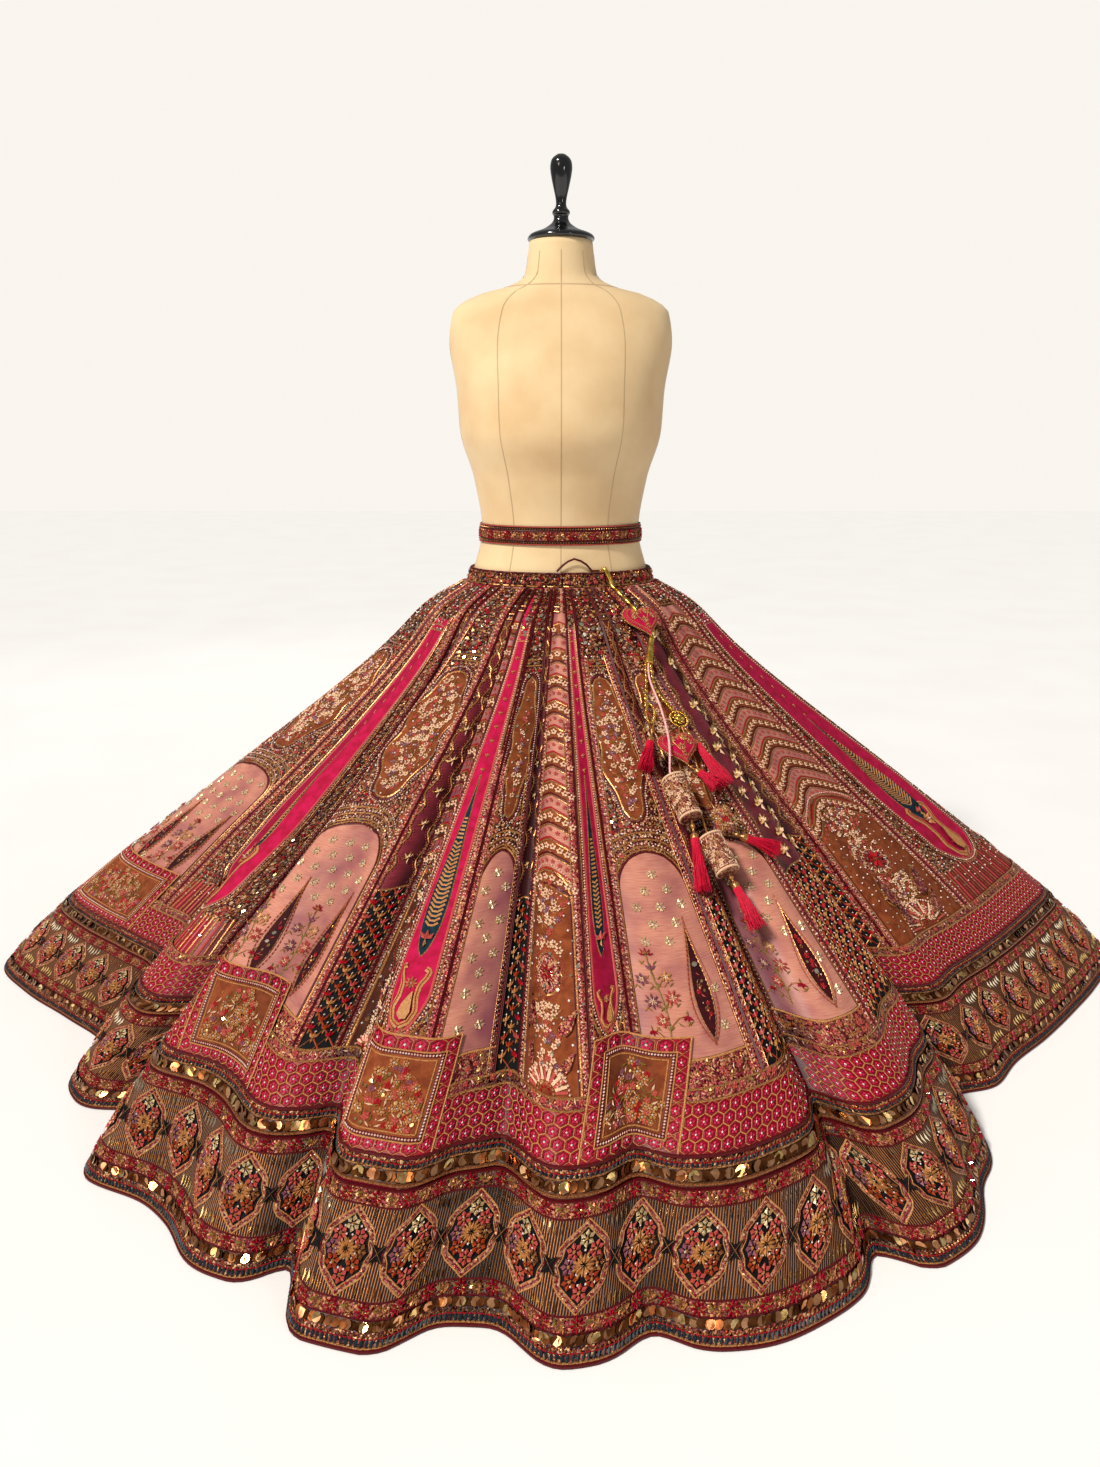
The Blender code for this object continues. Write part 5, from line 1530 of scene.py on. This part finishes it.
def make_ring(name, normal_axis):
    """A gold ring of twisted wire; the one that carries the drum and the bulb has a jewelled flower."""
    azimuth, z, lift = SPOTS[name]
    centre, axes = rest_point(azimuth, z, lift), rest_frame(azimuth, z)
    normal = axes[normal_axis]
    turn = axis_matrix(centre, centre + normal)
    pieces = [rope(name + "_wire", circle(turn, RING_RADIUS), RING_WIRE * 0.95, 22, "brass_gilt")]
    if normal_axis == 2:
        bm = bmesh.new()
        for radius, reach, sides, rise in ((0.0034, 0.0, 12, 0.0008), (0.0022, 0.0068, 10, 0.0004)):
            for i in range(7 if reach else 1):
                a = 2 * math.pi * i / 7
                place = Matrix.Translation(turn @ Vector((reach * math.cos(a), reach * math.sin(a), rise)))
                size = Matrix.Diagonal((radius * 1.35, radius * 1.35, radius * 0.8, 1))
                bmesh.ops.create_uvsphere(bm, u_segments=sides, v_segments=6, radius=1,
                                          matrix=place @ turn.to_3x3().to_4x4() @ size)
        pieces.append(object_from(name + "_flower", bm, "brass_gilt"))
    dress(name, *pieces)
    return (centre, normal), pieces


def barrel_cloth(start, end, radius_at):
    """The outside of a round piece on an axis, to stitch on."""
    turn = axis_matrix(start, end)
    length = (end - start).length
    points = [[turn @ Vector((radius_at(share) * math.sin(a), radius_at(share) * math.cos(a), length * share))
               for a in np.linspace(-math.pi, math.pi, 49)] for share in np.linspace(0.03, 0.97, 11)]
    points = np.array(points)
    cloth = Cloth(points, np.full(points.shape[:2], CLOTH_LIGHT))
    if np.sum((points - np.array(start.lerp(end, 0.5))) * cloth.normals) < 0:
        cloth = Cloth(points[:, ::-1].copy(), cloth.folds)
    return cloth


def make_drum(name, start, end):
    """A stuffed drum covered in close embroidery, with pale twisted rims."""
    length = (end - start).length
    swell = lambda share: DRUM_RADIUS * (0.97 + 0.035 * math.sin(math.pi * share))
    rim = [(DRUM_RADIUS * 0.9, 0.0002), (DRUM_RADIUS * 0.97, 0.001)]
    profile = rim + [(swell(share), length * share) for share in np.linspace(0.06, 0.94, 9)]
    profile += [(radius, length - z) for radius, z in rim[::-1]]
    turn = axis_matrix(start, end)
    pad = turned(name + "_pad", profile, "zardozi_pad", 48, turn)
    art = Artwork(barrel_cloth(start, end, lambda share: swell(share) + 0.0001), 400 + len(name))
    art.scatter(0.003, art.cloth.length - 0.003, 0.0056, PALE, lift=CLOSE * 1.5)
    for y in (0.005, art.cloth.length - 0.005):
        row_of(art, y, 0.0032, "bead", 0.0011, "bead_white", lift=CLOSE * 1.5)
    work = art.make(name + "_embroidery")
    pieces = [pad, work]
    for number, z in enumerate((0.0028, length - 0.0028), 1):
        pieces.append(rope(f"{name}_rim_{number}", circle(turn, DRUM_RADIUS, z), 0.0016, 26, "thread_cream"))
    dress(name, *pieces)
    return pieces


def make_bulb(name, start, end):
    length = (end - start).length
    shape = ((0.25, 0.0), (0.55, 0.08), (0.9, 0.28), (1.0, 0.5), (0.9, 0.72), (0.55, 0.92), (0.3, 1.0))
    profile = rounded([(BULB_RADIUS * share, length * rise) for share, rise in shape], 0.25, 1)
    pad = turned(name + "_pad", profile, "zardozi_pad", 40, axis_matrix(start, end))
    shares, rises = zip(*shape)
    surface = barrel_cloth(start, end, lambda rise: np.interp(rise, rises, shares) * BULB_RADIUS + 0.0002)
    art = Artwork(surface, 402)
    art.scatter(0.004, art.cloth.length - 0.004, 0.006, GARDEN, lift=CLOSE * 1.5)
    work = art.make(name + "_embroidery")
    dress(name, pad, work)
    return [pad, work]


def make_tassel(name, start, neck=0.012):
    """Silk floss on a gold-wrapped head, under a bead."""
    end = spot(name)
    turn = axis_matrix(start, end)
    axis = (end - start).normalized()
    profile = [(0.0012, 0.0), (0.0013, neck * 0.3), (0.003, neck * 0.42), (0.0034, neck * 0.52),
               (0.003, neck * 0.62), (0.0013, neck * 0.74), (0.0016, neck), (0.0048, neck + 0.002),
               (0.0053, neck + 0.005), (0.005, neck + 0.009)]
    head = turned(name + "_head", rounded(profile, 0.25, 1), "zari_gold", 24, turn)
    root_z = neck + 0.0085
    length = (end - start).length - root_z
    chance = np.random.default_rng(len(name) + ord(name[-1]))
    routes = []
    side, other = turn.to_3x3() @ Vector((1, 0, 0)), turn.to_3x3() @ Vector((0, 1, 0))
    for number in range(120):
        a, spread = number * 2.39996, math.sqrt((number + 0.5) / 120)
        reach = length * chance.uniform(0.9, 1.0)
        wave, phase = chance.uniform(0.0006, 0.0022), chance.uniform(0, 6.28)
        route = []
        for share in np.linspace(0, 1, 8):
            waisted = 1 - 0.15 * math.sin(math.pi * min(share * 2.2, 1))
            out = spread * (0.0052 * waisted + 0.0062 * share ** 1.5)
            out += wave * math.sin(phase + share * 7) * share
            twist = a + 0.5 * share + wave * 60 * share
            point = turn @ Vector((0, 0, root_z)) + axis * (reach * share)
            point += (side * math.cos(twist) + other * math.sin(twist)) * out
            point += Vector((0, 0, -0.001 * math.sin(number) * share))
            route.append((*point, 1.0 - 0.45 * share))
        routes.append(route)
    floss = threads(name + "_floss", routes, 0.00062, "silk_floss_red", resolution=0)
    dress(name, head, floss)


def make_cord(name, points, finish="zari_gold", radius=CORD_RADIUS):
    """A string on its own route, which is the solid's."""
    route = smooth_route(points, radius * 2 * CORD_STEP)
    piece = thread_curve(name + "_string", [route], radius, finish)
    dress(name, piece)


def make_latkans():
    lift = SEAM_GAP + DRAWSTRING_RADIUS
    bow = ((-6, 0, 0), (3, 0, 9), (20, 0, 18.5), (38, 2, 10), (46, 6, 0.5))   # mm from the casing's front
    string = [over_casing(0, 0.0045, lift) + Vector(place) / 1000 for place in bow]
    string += [over_casing(azimuth, 0.004, lift) for azimuth in (29.0, 32.5)]
    tip_1, seat_1, up = make_heart("heart_1")
    bar = make_bar(string[-1], (string[-1] - string[-2]).normalized(), seat_1, up)
    cap_start, cap_end = tip_1 - up * SEAM_GAP, rest_point(31.5, 0.545, 0.009)
    tall = (cap_end - cap_start).length
    bell = rounded([(0.0018, 0.0), (0.0045, 0.003), (0.0036, 0.01), (0.0056, tall - 0.006), (0.0064, tall)])
    cap = turned("latkan_cap_bell", bell, "brass_gilt", 48, axis_matrix(cap_start, cap_end), 12, 0.05)
    dress("latkan_cap", cap)
    make_cord("drawstring", string, "satin_maroon", DRAWSTRING_RADIUS)

    fall = (cap_end - cap_start).normalized()
    side = fall.cross(rest_frame(31.5, 0.545)[2]).normalized()
    roots = [cap_end + fall * SEAM_GAP + side * shift for shift in (0.0042, 0.0, -0.0042)]
    steps = [root + fall * 0.006 for root in roots]

    ring_left, wire_left = make_ring("ring_left", 0)
    ring_right, wire_right = make_ring("ring_right", 2)
    low_a = spot("strand_a_low")
    route = [roots[0], steps[0], spot("strand_a"), low_a, off_ring(ring_left, low_a)]
    beads = gold_beads("strand_a", route)
    make_tassel("tassel_f", off_ring(ring_left, spot("tassel_f")), 0.022)
    make_cord("strand_a", route)

    drum_top, drum_end = spot("drum_1_top"), spot("drum_1_end")
    entry = (drum_end - drum_top).normalized()
    drum = make_drum("drum_1", drum_top, drum_end)
    make_tassel("tassel_c", off_face(drum_end, entry, spot("tassel_c")), 0.02)
    route = [roots[1], steps[1], spot("strand_b"), spot("strand_b_mid"), spot("strand_b_low"),
             drum_top - entry * 0.008, drum_top - entry * SEAM_GAP]
    make_cord("strand_b", route, "cord_pink_white")

    place_c = spot("strand_c")
    route = [roots[2], steps[2], place_c, off_ring(ring_right, place_c)]
    beads = gold_beads("strand_c", route)
    make_tassel("tassel_a", off_ring(ring_right, spot("tassel_a")), 0.024)
    tip_2, _, up = make_heart("heart_2")
    make_tassel("tassel_e", off_face(tip_2, -up, spot("tassel_e")), 0.01)
    make_cord("strand_c", route)

    for strand, piece, maker, tail in (("strand_d", "drum_2", make_drum, "tassel_d"),
                                       ("strand_e", "bulb", make_bulb, "tassel_b")):
        top, end = spot(piece + "_top"), spot(piece + "_end")
        entry = (end - top).normalized()
        high, low = spot(strand), spot(strand + "_low")
        body = maker(piece, top, end)
        make_tassel(tail, off_face(end, entry, spot(tail)))
        route = [off_ring(ring_right, high), high, low, top - entry * 0.008, top - entry * SEAM_GAP]
        make_cord(strand, route)


def make_bar(cord_end, heading, seat, up):
    """The gilt tube that ends the drawstring, and the beads under it."""
    top, lift = cord_end + heading * SEAM_GAP, 0.0065
    entry, last = seat + up * 0.004, rest_point(39.5, 0.643, lift)
    beads = [last.lerp(entry, share) for share in (0.15, 0.3, 0.45, 0.6, 0.75, 0.9)]
    points = [top, top + heading * 0.002,
              over_casing(36, 0.0095, 0.0048), over_casing(38, 0.015, -0.009), last, *beads, entry, seat]
    radii = (0.0015, 0.0015, 0.0034, 0.0038, 0.0036, 0.0016, 0.0036, 0.0016, 0.0036, 0.0016, 0.003,
             CORD_RADIUS, CORD_RADIUS)
    route = []
    for (a, r), (b, s) in zip(zip(points, radii), zip(points[1:], radii[1:])):
        for share in (0, 0.25, 0.5, 0.75):
            eased = 0.5 - 0.5 * math.cos(math.pi * share)
            route.append((*a.lerp(b, share), (r + (s - r) * eased) / 0.0038))
    route.append((*points[-1], radii[-1] / 0.0038))
    tube = threads("latkan_bar_tube", [route[:17]], 0.0038, "brass_gilt", resolution=4)
    balls = threads("latkan_bar_beads", [route[16:]], 0.0038, "brass_gilt", resolution=4)
    dress("latkan_bar", tube, balls)
    return tube


# ---------------------------------------------------------------- materials
def colour(hex_colour):
    """An sRGB hex colour as the linear values that Blender's sockets take."""
    parts = [int(hex_colour[i:i + 2], 16) / 255 for i in (1, 3, 5)]
    return (*(c / 12.92 if c <= 0.04045 else ((c + 0.055) / 1.055) ** 2.4 for c in parts), 1.0)


def feed(tree, made, inputs):
    """Sets inputs: to a value, or from a socket, or from the first live output of a node."""
    for socket, value in inputs.items():
        if isinstance(value, bpy.types.Node):
            value = next(output for output in value.outputs if output.enabled)
        if isinstance(value, bpy.types.NodeSocket):
            tree.links.new(value, made.inputs[socket])
        else:
            made.inputs[socket].default_value = value


def node(tree, kind, inputs=None, stops=None, **settings):
    """Adds a node with its settings and links."""
    made = tree.nodes.new("ShaderNode" + kind)
    for name, value in settings.items():
        setattr(made, name, value)
    feed(tree, made, inputs or {})
    if stops:
        elements = made.color_ramp.elements
        while len(elements) < len(stops):
            elements.new(1.0)
        for element, (place, shade) in zip(elements, stops):
            element.position, element.color = place, colour(shade)
    return made


MATERIALS = {}


def start_material(name, constants, flat=False):
    """A new material's tree, its shader with these constants, and the coordinates its pattern follows."""
    made = MATERIALS[name] = bpy.data.materials.new(name)
    made.use_nodes = True
    tree = made.node_tree
    shader = tree.nodes["Principled BSDF"]
    feed(tree, shader, constants)
    place = node(tree, "UVMap", uv_map="flat") if flat else node(tree, "TexCoord").outputs["Object"]
    return tree, shader, place


def finish_material(tree, shader, hue, height, strength, distance, painted_fold_shade=None, invert=False):
    """Colour and relief to the shader; with a fold shade given, the colour is darkened towards the bottom of
    the folds as painted shade.
    """
    if painted_fold_shade:
        # painted shade: the colour is scaled from 0.84 on the fold ridges down to 0.84 times the fold shade
        # in the valleys
        fold = node(tree, "Attribute", attribute_name="fold").outputs["Fac"]
        share = node(tree, "MapRange", {"Value": fold, "From Min": 0.12, "From Max": 0.58,
                                        "To Min": painted_fold_shade * 0.84, "To Max": 0.84})
        hue = node(tree, "VectorMath", {0: hue, "Scale": share}, operation="SCALE")
    bump = node(tree, "Bump", {"Height": height, "Strength": strength, "Distance": distance}, invert=invert)
    feed(tree, shader, {"Base Color": hue, "Normal": bump})


def silk(name, weft, slub, valley, sheen="#FFD9CF"):
    """Dupion silk, shot and slubbed: a soft gloss, streaks across it, and a darker mauve hue painted into the
    folds as painted shade, which also stands in for the shot silk's change of hue.
    """
    tree, shader, flat = start_material(name, {
        "Roughness": 0.42, "Specular IOR Level": 0.26, "Sheen Weight": 0.05, "Sheen Roughness": 0.35,
        "Sheen Tint": colour(sheen)}, True)
    # slubs are really 0.4 mm thick and 15 to 40 mm long; drawn 1 mm thick so that they show
    long = node(tree, "Mapping", {"Vector": flat, "Scale": (48, 1000, 1)})
    slubs = node(tree, "TexNoise", {"Vector": long, "Scale": 1.0, "Detail": 3.0})
    cloudy = node(tree, "TexNoise", {"Vector": flat, "Scale": 24.0, "Detail": 2.0})
    streaks = node(tree, "ValToRGB", {"Fac": slubs}, [(0.36, weft), (0.62, slub)])
    # painted shade: the valley colour, darker and mauve, is mixed in towards the bottom of the folds
    fold = node(tree, "Attribute", attribute_name="fold").outputs["Fac"]
    depth = node(tree, "Math", {0: fold, 1: cloudy}, operation="ADD")
    shade = node(tree, "MapRange", {"Value": depth, "From Min": 0.62, "From Max": 1.18})
    tint = node(tree, "Mix", {"Factor": shade, "A": colour(valley), "B": streaks}, data_type="RGBA")
    # darkened again towards the fold valleys as painted shade
    finish_material(tree, shader, tint, slubs, 0.35, 0.0006, 0.66)


def velvet(name, deep, bright, sheen, painted_fold_shade=0.24):
    """Cotton-backed velvet: matt, brighter where the pile turns away, with crushed patches of nap, and
    painted shade towards the bottom of the folds.
    """
    tree, shader, place = start_material(name, {
        "Roughness": 0.8, "Specular IOR Level": 0.2, "Sheen Weight": 0.07, "Sheen Roughness": 0.3,
        "Sheen Tint": colour(sheen)})
    # nap lies in patches of 8 to 15 mm; pile is 0.3 mm, drawn at 0.8 mm
    nap = node(tree, "TexNoise", {"Vector": place, "Scale": 85.0, "Detail": 3.0})
    pile = node(tree, "TexNoise", {"Vector": place, "Scale": 1250.0, "Detail": 1.0})
    shade = node(tree, "ValToRGB", {"Fac": nap}, [(0.35, deep), (0.66, bright)])
    # painted shade in the fold valleys, none where the fold shade is 1
    finish_material(tree, shader, shade, pile, 0.5, 0.0004, painted_fold_shade)


def zardozi(name, metal, shades, flat=True):
    """Close couched zari, dabka coils and silk knots: a grain of 2 to 3 mm in many hues, part of it metal;
    flat work has painted shade towards the bottom of the folds.
    """
    tree, shader, place = start_material(name, {"Roughness": 0.42, "Specular IOR Level": 0.3}, flat)
    # scrolls wander over 12 mm; a knot or coil is 2.4 mm across
    wander = node(tree, "TexNoise", {"Vector": place, "Scale": 90.0, "Detail": 2.0})
    bent = node(tree, "Mix", {"Factor": 0.006, "A": place, "B": wander.outputs["Color"]}, data_type="VECTOR")
    grain = node(tree, "TexVoronoi", {"Vector": bent, "Scale": 420.0})
    part = node(tree, "SeparateColor", {"Color": grain.outputs["Color"]})
    mixed = node(tree, "Mix", {"Factor": 0.35, "A": part, "B": wander})
    steps = [(0.17 + 0.66 * i / len(shades), shade) for i, shade in enumerate(shades)]
    hue = node(tree, "ValToRGB", {"Fac": mixed}, steps)
    hue.color_ramp.interpolation = "CONSTANT"
    shine = node(tree, "Math", {0: part.outputs[1], 1: 1 - metal}, operation="GREATER_THAN")
    feed(tree, shader, {"Metallic": shine})
    # painted shade in the fold valleys for flat work; none on pads
    finish_material(tree, shader, hue, grain, 0.9, 0.0012, 0.24 if flat else 1.0, True)


def upright_zari(name):
    """Gold threads couched side by side, upright, on dark brown: fine gold pinstripes with gaps between."""
    tree, shader, flat = start_material(name, {"Roughness": 0.5, "Specular IOR Level": 0.2}, True)
    # threads are 1.2 mm apart, drawn 3 mm apart so that they show
    lines = node(tree, "TexWave", {"Vector": flat, "Scale": 105.0}, bands_direction="X").outputs["Fac"]
    knots = node(tree, "TexNoise", {"Vector": flat, "Scale": 330.0, "Detail": 1.0})
    mixed = node(tree, "Mix", {"Factor": 0.12, "A": lines, "B": knots})
    hue = node(tree, "ValToRGB", {"Fac": mixed},
               [(0.36, "#180604"), (0.54, "#421A0E"), (0.74, "#844628"), (0.95, "#BC8050")])
    feed(tree, shader, {"Metallic": node(tree, "Math", {0: mixed, 1: 0.93}, operation="GREATER_THAN")})
    # painted shade towards the bottom of the folds
    finish_material(tree, shader, hue, mixed, 0.8, 0.001, 0.24)


def zari(name, dark, bright, roughness):
    """Gilt metal thread round a silk core: broken bright lines painted into its colour as painted highlights
    where each turn of the wrap catches light, over its real metallic gloss.
    """
    tree, shader, place = start_material(name, {"Roughness": roughness, "Metallic": 0.65})
    # the wrap turns every 0.5 mm, drawn at 1.1 mm
    wrap = node(tree, "TexNoise", {"Vector": place, "Scale": 900.0, "Detail": 1.0})
    hue = node(tree, "ValToRGB", {"Fac": wrap}, [(0.38, dark), (0.6, bright)])
    finish_material(tree, shader, hue, wrap, 0.5, 0.0004)


def floss(name, dark, bright):
    """Untwisted silk thread: soft, with fine streaks and a satin edge."""
    tree, shader, place = start_material(name, {"Roughness": 0.46, "Specular IOR Level": 0.25})
    # strands of 0.3 mm, drawn at 0.9 mm
    strand = node(tree, "TexNoise", {"Vector": place, "Scale": 1100.0, "Detail": 1.0})
    hue = node(tree, "ValToRGB", {"Fac": strand}, [(0.36, dark), (0.64, bright)])
    finish_material(tree, shader, hue, strand, 0.35, 0.0003)


def jersey(name, deep, bright):
    """Cotton jersey stretched over the form: matt, with a fine knit rib and faint clouding."""
    tree, shader, place = start_material(name, {"Roughness": 0.88, "Sheen Weight": 0.15})
    cloud = node(tree, "TexNoise", {"Vector": place, "Scale": 14.0, "Detail": 4.0})
    hue = node(tree, "ValToRGB", {"Fac": cloud}, [(0.3, deep), (0.7, bright)])
    # stitches of 0.6 mm, drawn at 1.4 mm
    knit = node(tree, "TexVoronoi", {"Vector": place, "Scale": 700.0})
    finish_material(tree, shader, hue, knit, 0.25, 0.0004)


def hard(name, deep, bright, roughness, metallic=0.0, grain=160.0, coat=0.0, wear=0.1):
    """Lacquer, brass, steel, foil or glass: clean reflections, with a faint mottle where hands rub it."""
    constants = {"Metallic": metallic, "Coat Weight": coat, "Coat Roughness": 0.06}
    tree, shader, place = start_material(name, constants)
    mottle = node(tree, "TexNoise", {"Vector": place, "Scale": grain, "Detail": 3.0})
    rub = {"Value": mottle, "From Min": 0.3, "From Max": 0.7, "To Min": roughness, "To Max": roughness + wear}
    feed(tree, shader, {"Base Color": node(tree, "ValToRGB", {"Fac": mottle}, [(0.35, deep), (0.65, bright)]),
                        "Roughness": node(tree, "MapRange", rub)})


def make_materials():
    # silks: weft, slub, the colour of the painted shade in the folds, and sheen tint
    silk("silk_pink", "#CA7C68", "#DE9A82", "#964E58")
    silk("silk_plum", "#701626", "#8C2C3A", "#40060E", "#C08070")
    silk("silk_rani", "#90021E", "#A8082A", "#520214", "#C04060")
    silk("silk_brown", "#2C1008", "#40200E", "#140604", "#80583C")
    velvet("velvet_rani", "#AC0034", "#CC084C", "#E03068")
    velvet("velvet_rust", "#7A3414", "#9C4E26", "#C88850")
    velvet("velvet_maroon", "#2E030A", "#480612", "#802838")
    velvet("velvet_black", "#060303", "#0E0606", "#302024")
    velvet("velvet_navy", "#07050A", "#100C12", "#383038")
    velvet("velvet_teal", "#071C26", "#10323E", "#38606C")
    velvet("velvet_fuchsia", "#B0043A", "#D40C48", "#F05088", 1.0)
    zardozi("zardozi", 0.2,
            ("#36080A", "#602014", "#B87440", "#460C12", "#7C2A1A", "#2A0608", "#963C2C", "#E8B884"))
    zardozi("zardozi_dark", 0.3,
            ("#240408", "#50080E", "#985E34", "#2C050A", "#6C1618", "#1A0406", "#862824", "#D09858"))
    zardozi("zardozi_rose", 0.2,
            ("#6C1420", "#C07850", "#8E1E30", "#4C0C10", "#D89868", "#7C2420", "#B0404A"))
    zardozi("zardozi_pad", 0.2,
            ("#7A3428", "#B8845C", "#94503C", "#642420", "#CCA078", "#86443A", "#A86454"), False)
    zari("zari_gold", "#84461E", "#D0965A", 0.3)
    zari("zari_pale", "#AC8A58", "#F0DEB0", 0.36)
    zari("zari_antique", "#642E10", "#A86C40", 0.38)
    upright_zari("zari_upright")
    for name, dark, bright in (
            ("thread_red", "#84040E", "#B80C20"), ("thread_crimson", "#7A021A", "#A20826"),
            ("thread_pink", "#AC0C34", "#D22650"), ("thread_gold", "#94562A", "#D0965A"),
            ("thread_rose", "#9A302C", "#C4584C"), ("thread_cream", "#D4A680", "#F4D0AC"),
            ("thread_mauve", "#64303E", "#965A66"), ("thread_teal", "#0C161C", "#1C2E38"),
            ("thread_green", "#5A4A14", "#8E7C30"), ("thread_rust", "#742006", "#AC4016"),
            ("silk_floss_red", "#A80020", "#E40E40"), ("cord_pink_white", "#DC6474", "#FFDCD4"),
            ("satin_maroon", "#3E0006", "#5E060E")):
        floss(name, dark, bright)
    hard("sequin_gold", "#D0A050", "#FFE0A0", 0.16, 1.0)
    hard("sequin_copper", "#B47048", "#ECB080", 0.18, 1.0, 60.0)
    hard("sequin_brown", "#5A2E18", "#94582F", 0.18, 1.0, 60.0)
    hard("mirror", "#E4D0A8", "#FFF4DC", 0.08, 1.0, wear=0.05)
    hard("bead_white", "#E09C88", "#FBDCCB", 0.16, coat=0.4)
    # crystal beads: their near-white colour is a painted glint for clear glass, over a real glossy coat
    hard("crystal", "#F4DCC8", "#FFFAF2", 0.08, coat=0.8, wear=0.05)
    hard("brass_gilt", "#C08A28", "#F2CC66", 0.2, 1.0)
    hard("lacquer_black", "#050505", "#0A0A0B", 0.1, grain=40.0, coat=0.6, wear=0.08)
    hard("steel_brushed", "#8A8A8C", "#B4B4B6", 0.28, 1.0)
    hard("floor_pale", "#F9F8F6", "#FAF9F8", 0.65, grain=3.0)
    jersey("jersey_cream", "#DAB888", "#E6CA9C")
    jersey("jersey_seam", "#B89A72", "#C8AC84")


# ---------------------------------------------------------------- studio
def make_camera():
    data = bpy.data.cameras.new("camera")
    data.sensor_fit, data.sensor_height = "VERTICAL", 24
    data.lens = 24 * 1102 / 1467
    camera = put("camera", data)
    camera.location, camera.rotation_euler = (-0.016, -1.74, 0.86), (math.radians(75), 0, 0)
    bpy.context.scene.camera = camera


def make_lamp(name, kind, place, aim, energy, tint):
    light = bpy.data.lights.new(name, kind)
    light.energy, light.color = energy, colour(tint)[:3]
    lamp = put(name, light)
    lamp.location = place
    lamp.rotation_euler = (Vector(aim) - Vector(place)).to_track_quat("-Z", "Y").to_euler()
    return light


def make_studio():
    bm = bmesh.new()
    bmesh.ops.create_grid(bm, x_segments=4, y_segments=4, size=9)
    bmesh.ops.translate(bm, vec=(0, 3, -0.0006), verts=bm.verts)
    object_from("floor", bm, "floor_pale", False)
    world = bpy.data.worlds.new("studio")
    world.use_nodes = True
    tree = world.node_tree
    soft = tree.nodes["Background"]
    feed(tree, soft, {"Color": colour("#FFFFFF"), "Strength": 0.27})
    wall = node(tree, "Background", {"Color": colour("#FFFBF4"), "Strength": 0.95})
    seen = node(tree, "MixShader", {0: node(tree, "LightPath").outputs["Is Camera Ray"], 1: soft, 2: wall})
    feed(tree, tree.nodes["World Output"], {"Surface": seen})
    bpy.context.scene.world = world
    bpy.context.scene.view_settings.view_transform = "Standard"
    # one wide, even lamp from the front left lights the whole floor alike
    light = make_lamp("overcast", "SUN", (0, 0, 0), (1.9, 1.7, -2.7), 3.35, "#FFFBF4")
    light.angle = math.radians(9)
    make_lamp("key", "AREA", (-1.3, -2.6, 2.2), (0, 0, 0.35), 7, "#FFF0E0").size = 0.7
    make_lamp("glint", "AREA", (1.5, -2.4, 1.3), (0, 0, 0.3), 5, "#FFF4E8").size = 0.4
    make_lamp("back", "AREA", (-1.2, 2.8, 1.8), (0, 0, 0.4), 5, "#FFFFFF").size = 1.2


# ---------------------------------------------------------------- making
make_materials()
make_camera()
make_latkans()
make_panels()
make_foot_bands()
make_border()
make_casing()
make_belt()
make_form()
make_stand()
make_studio()
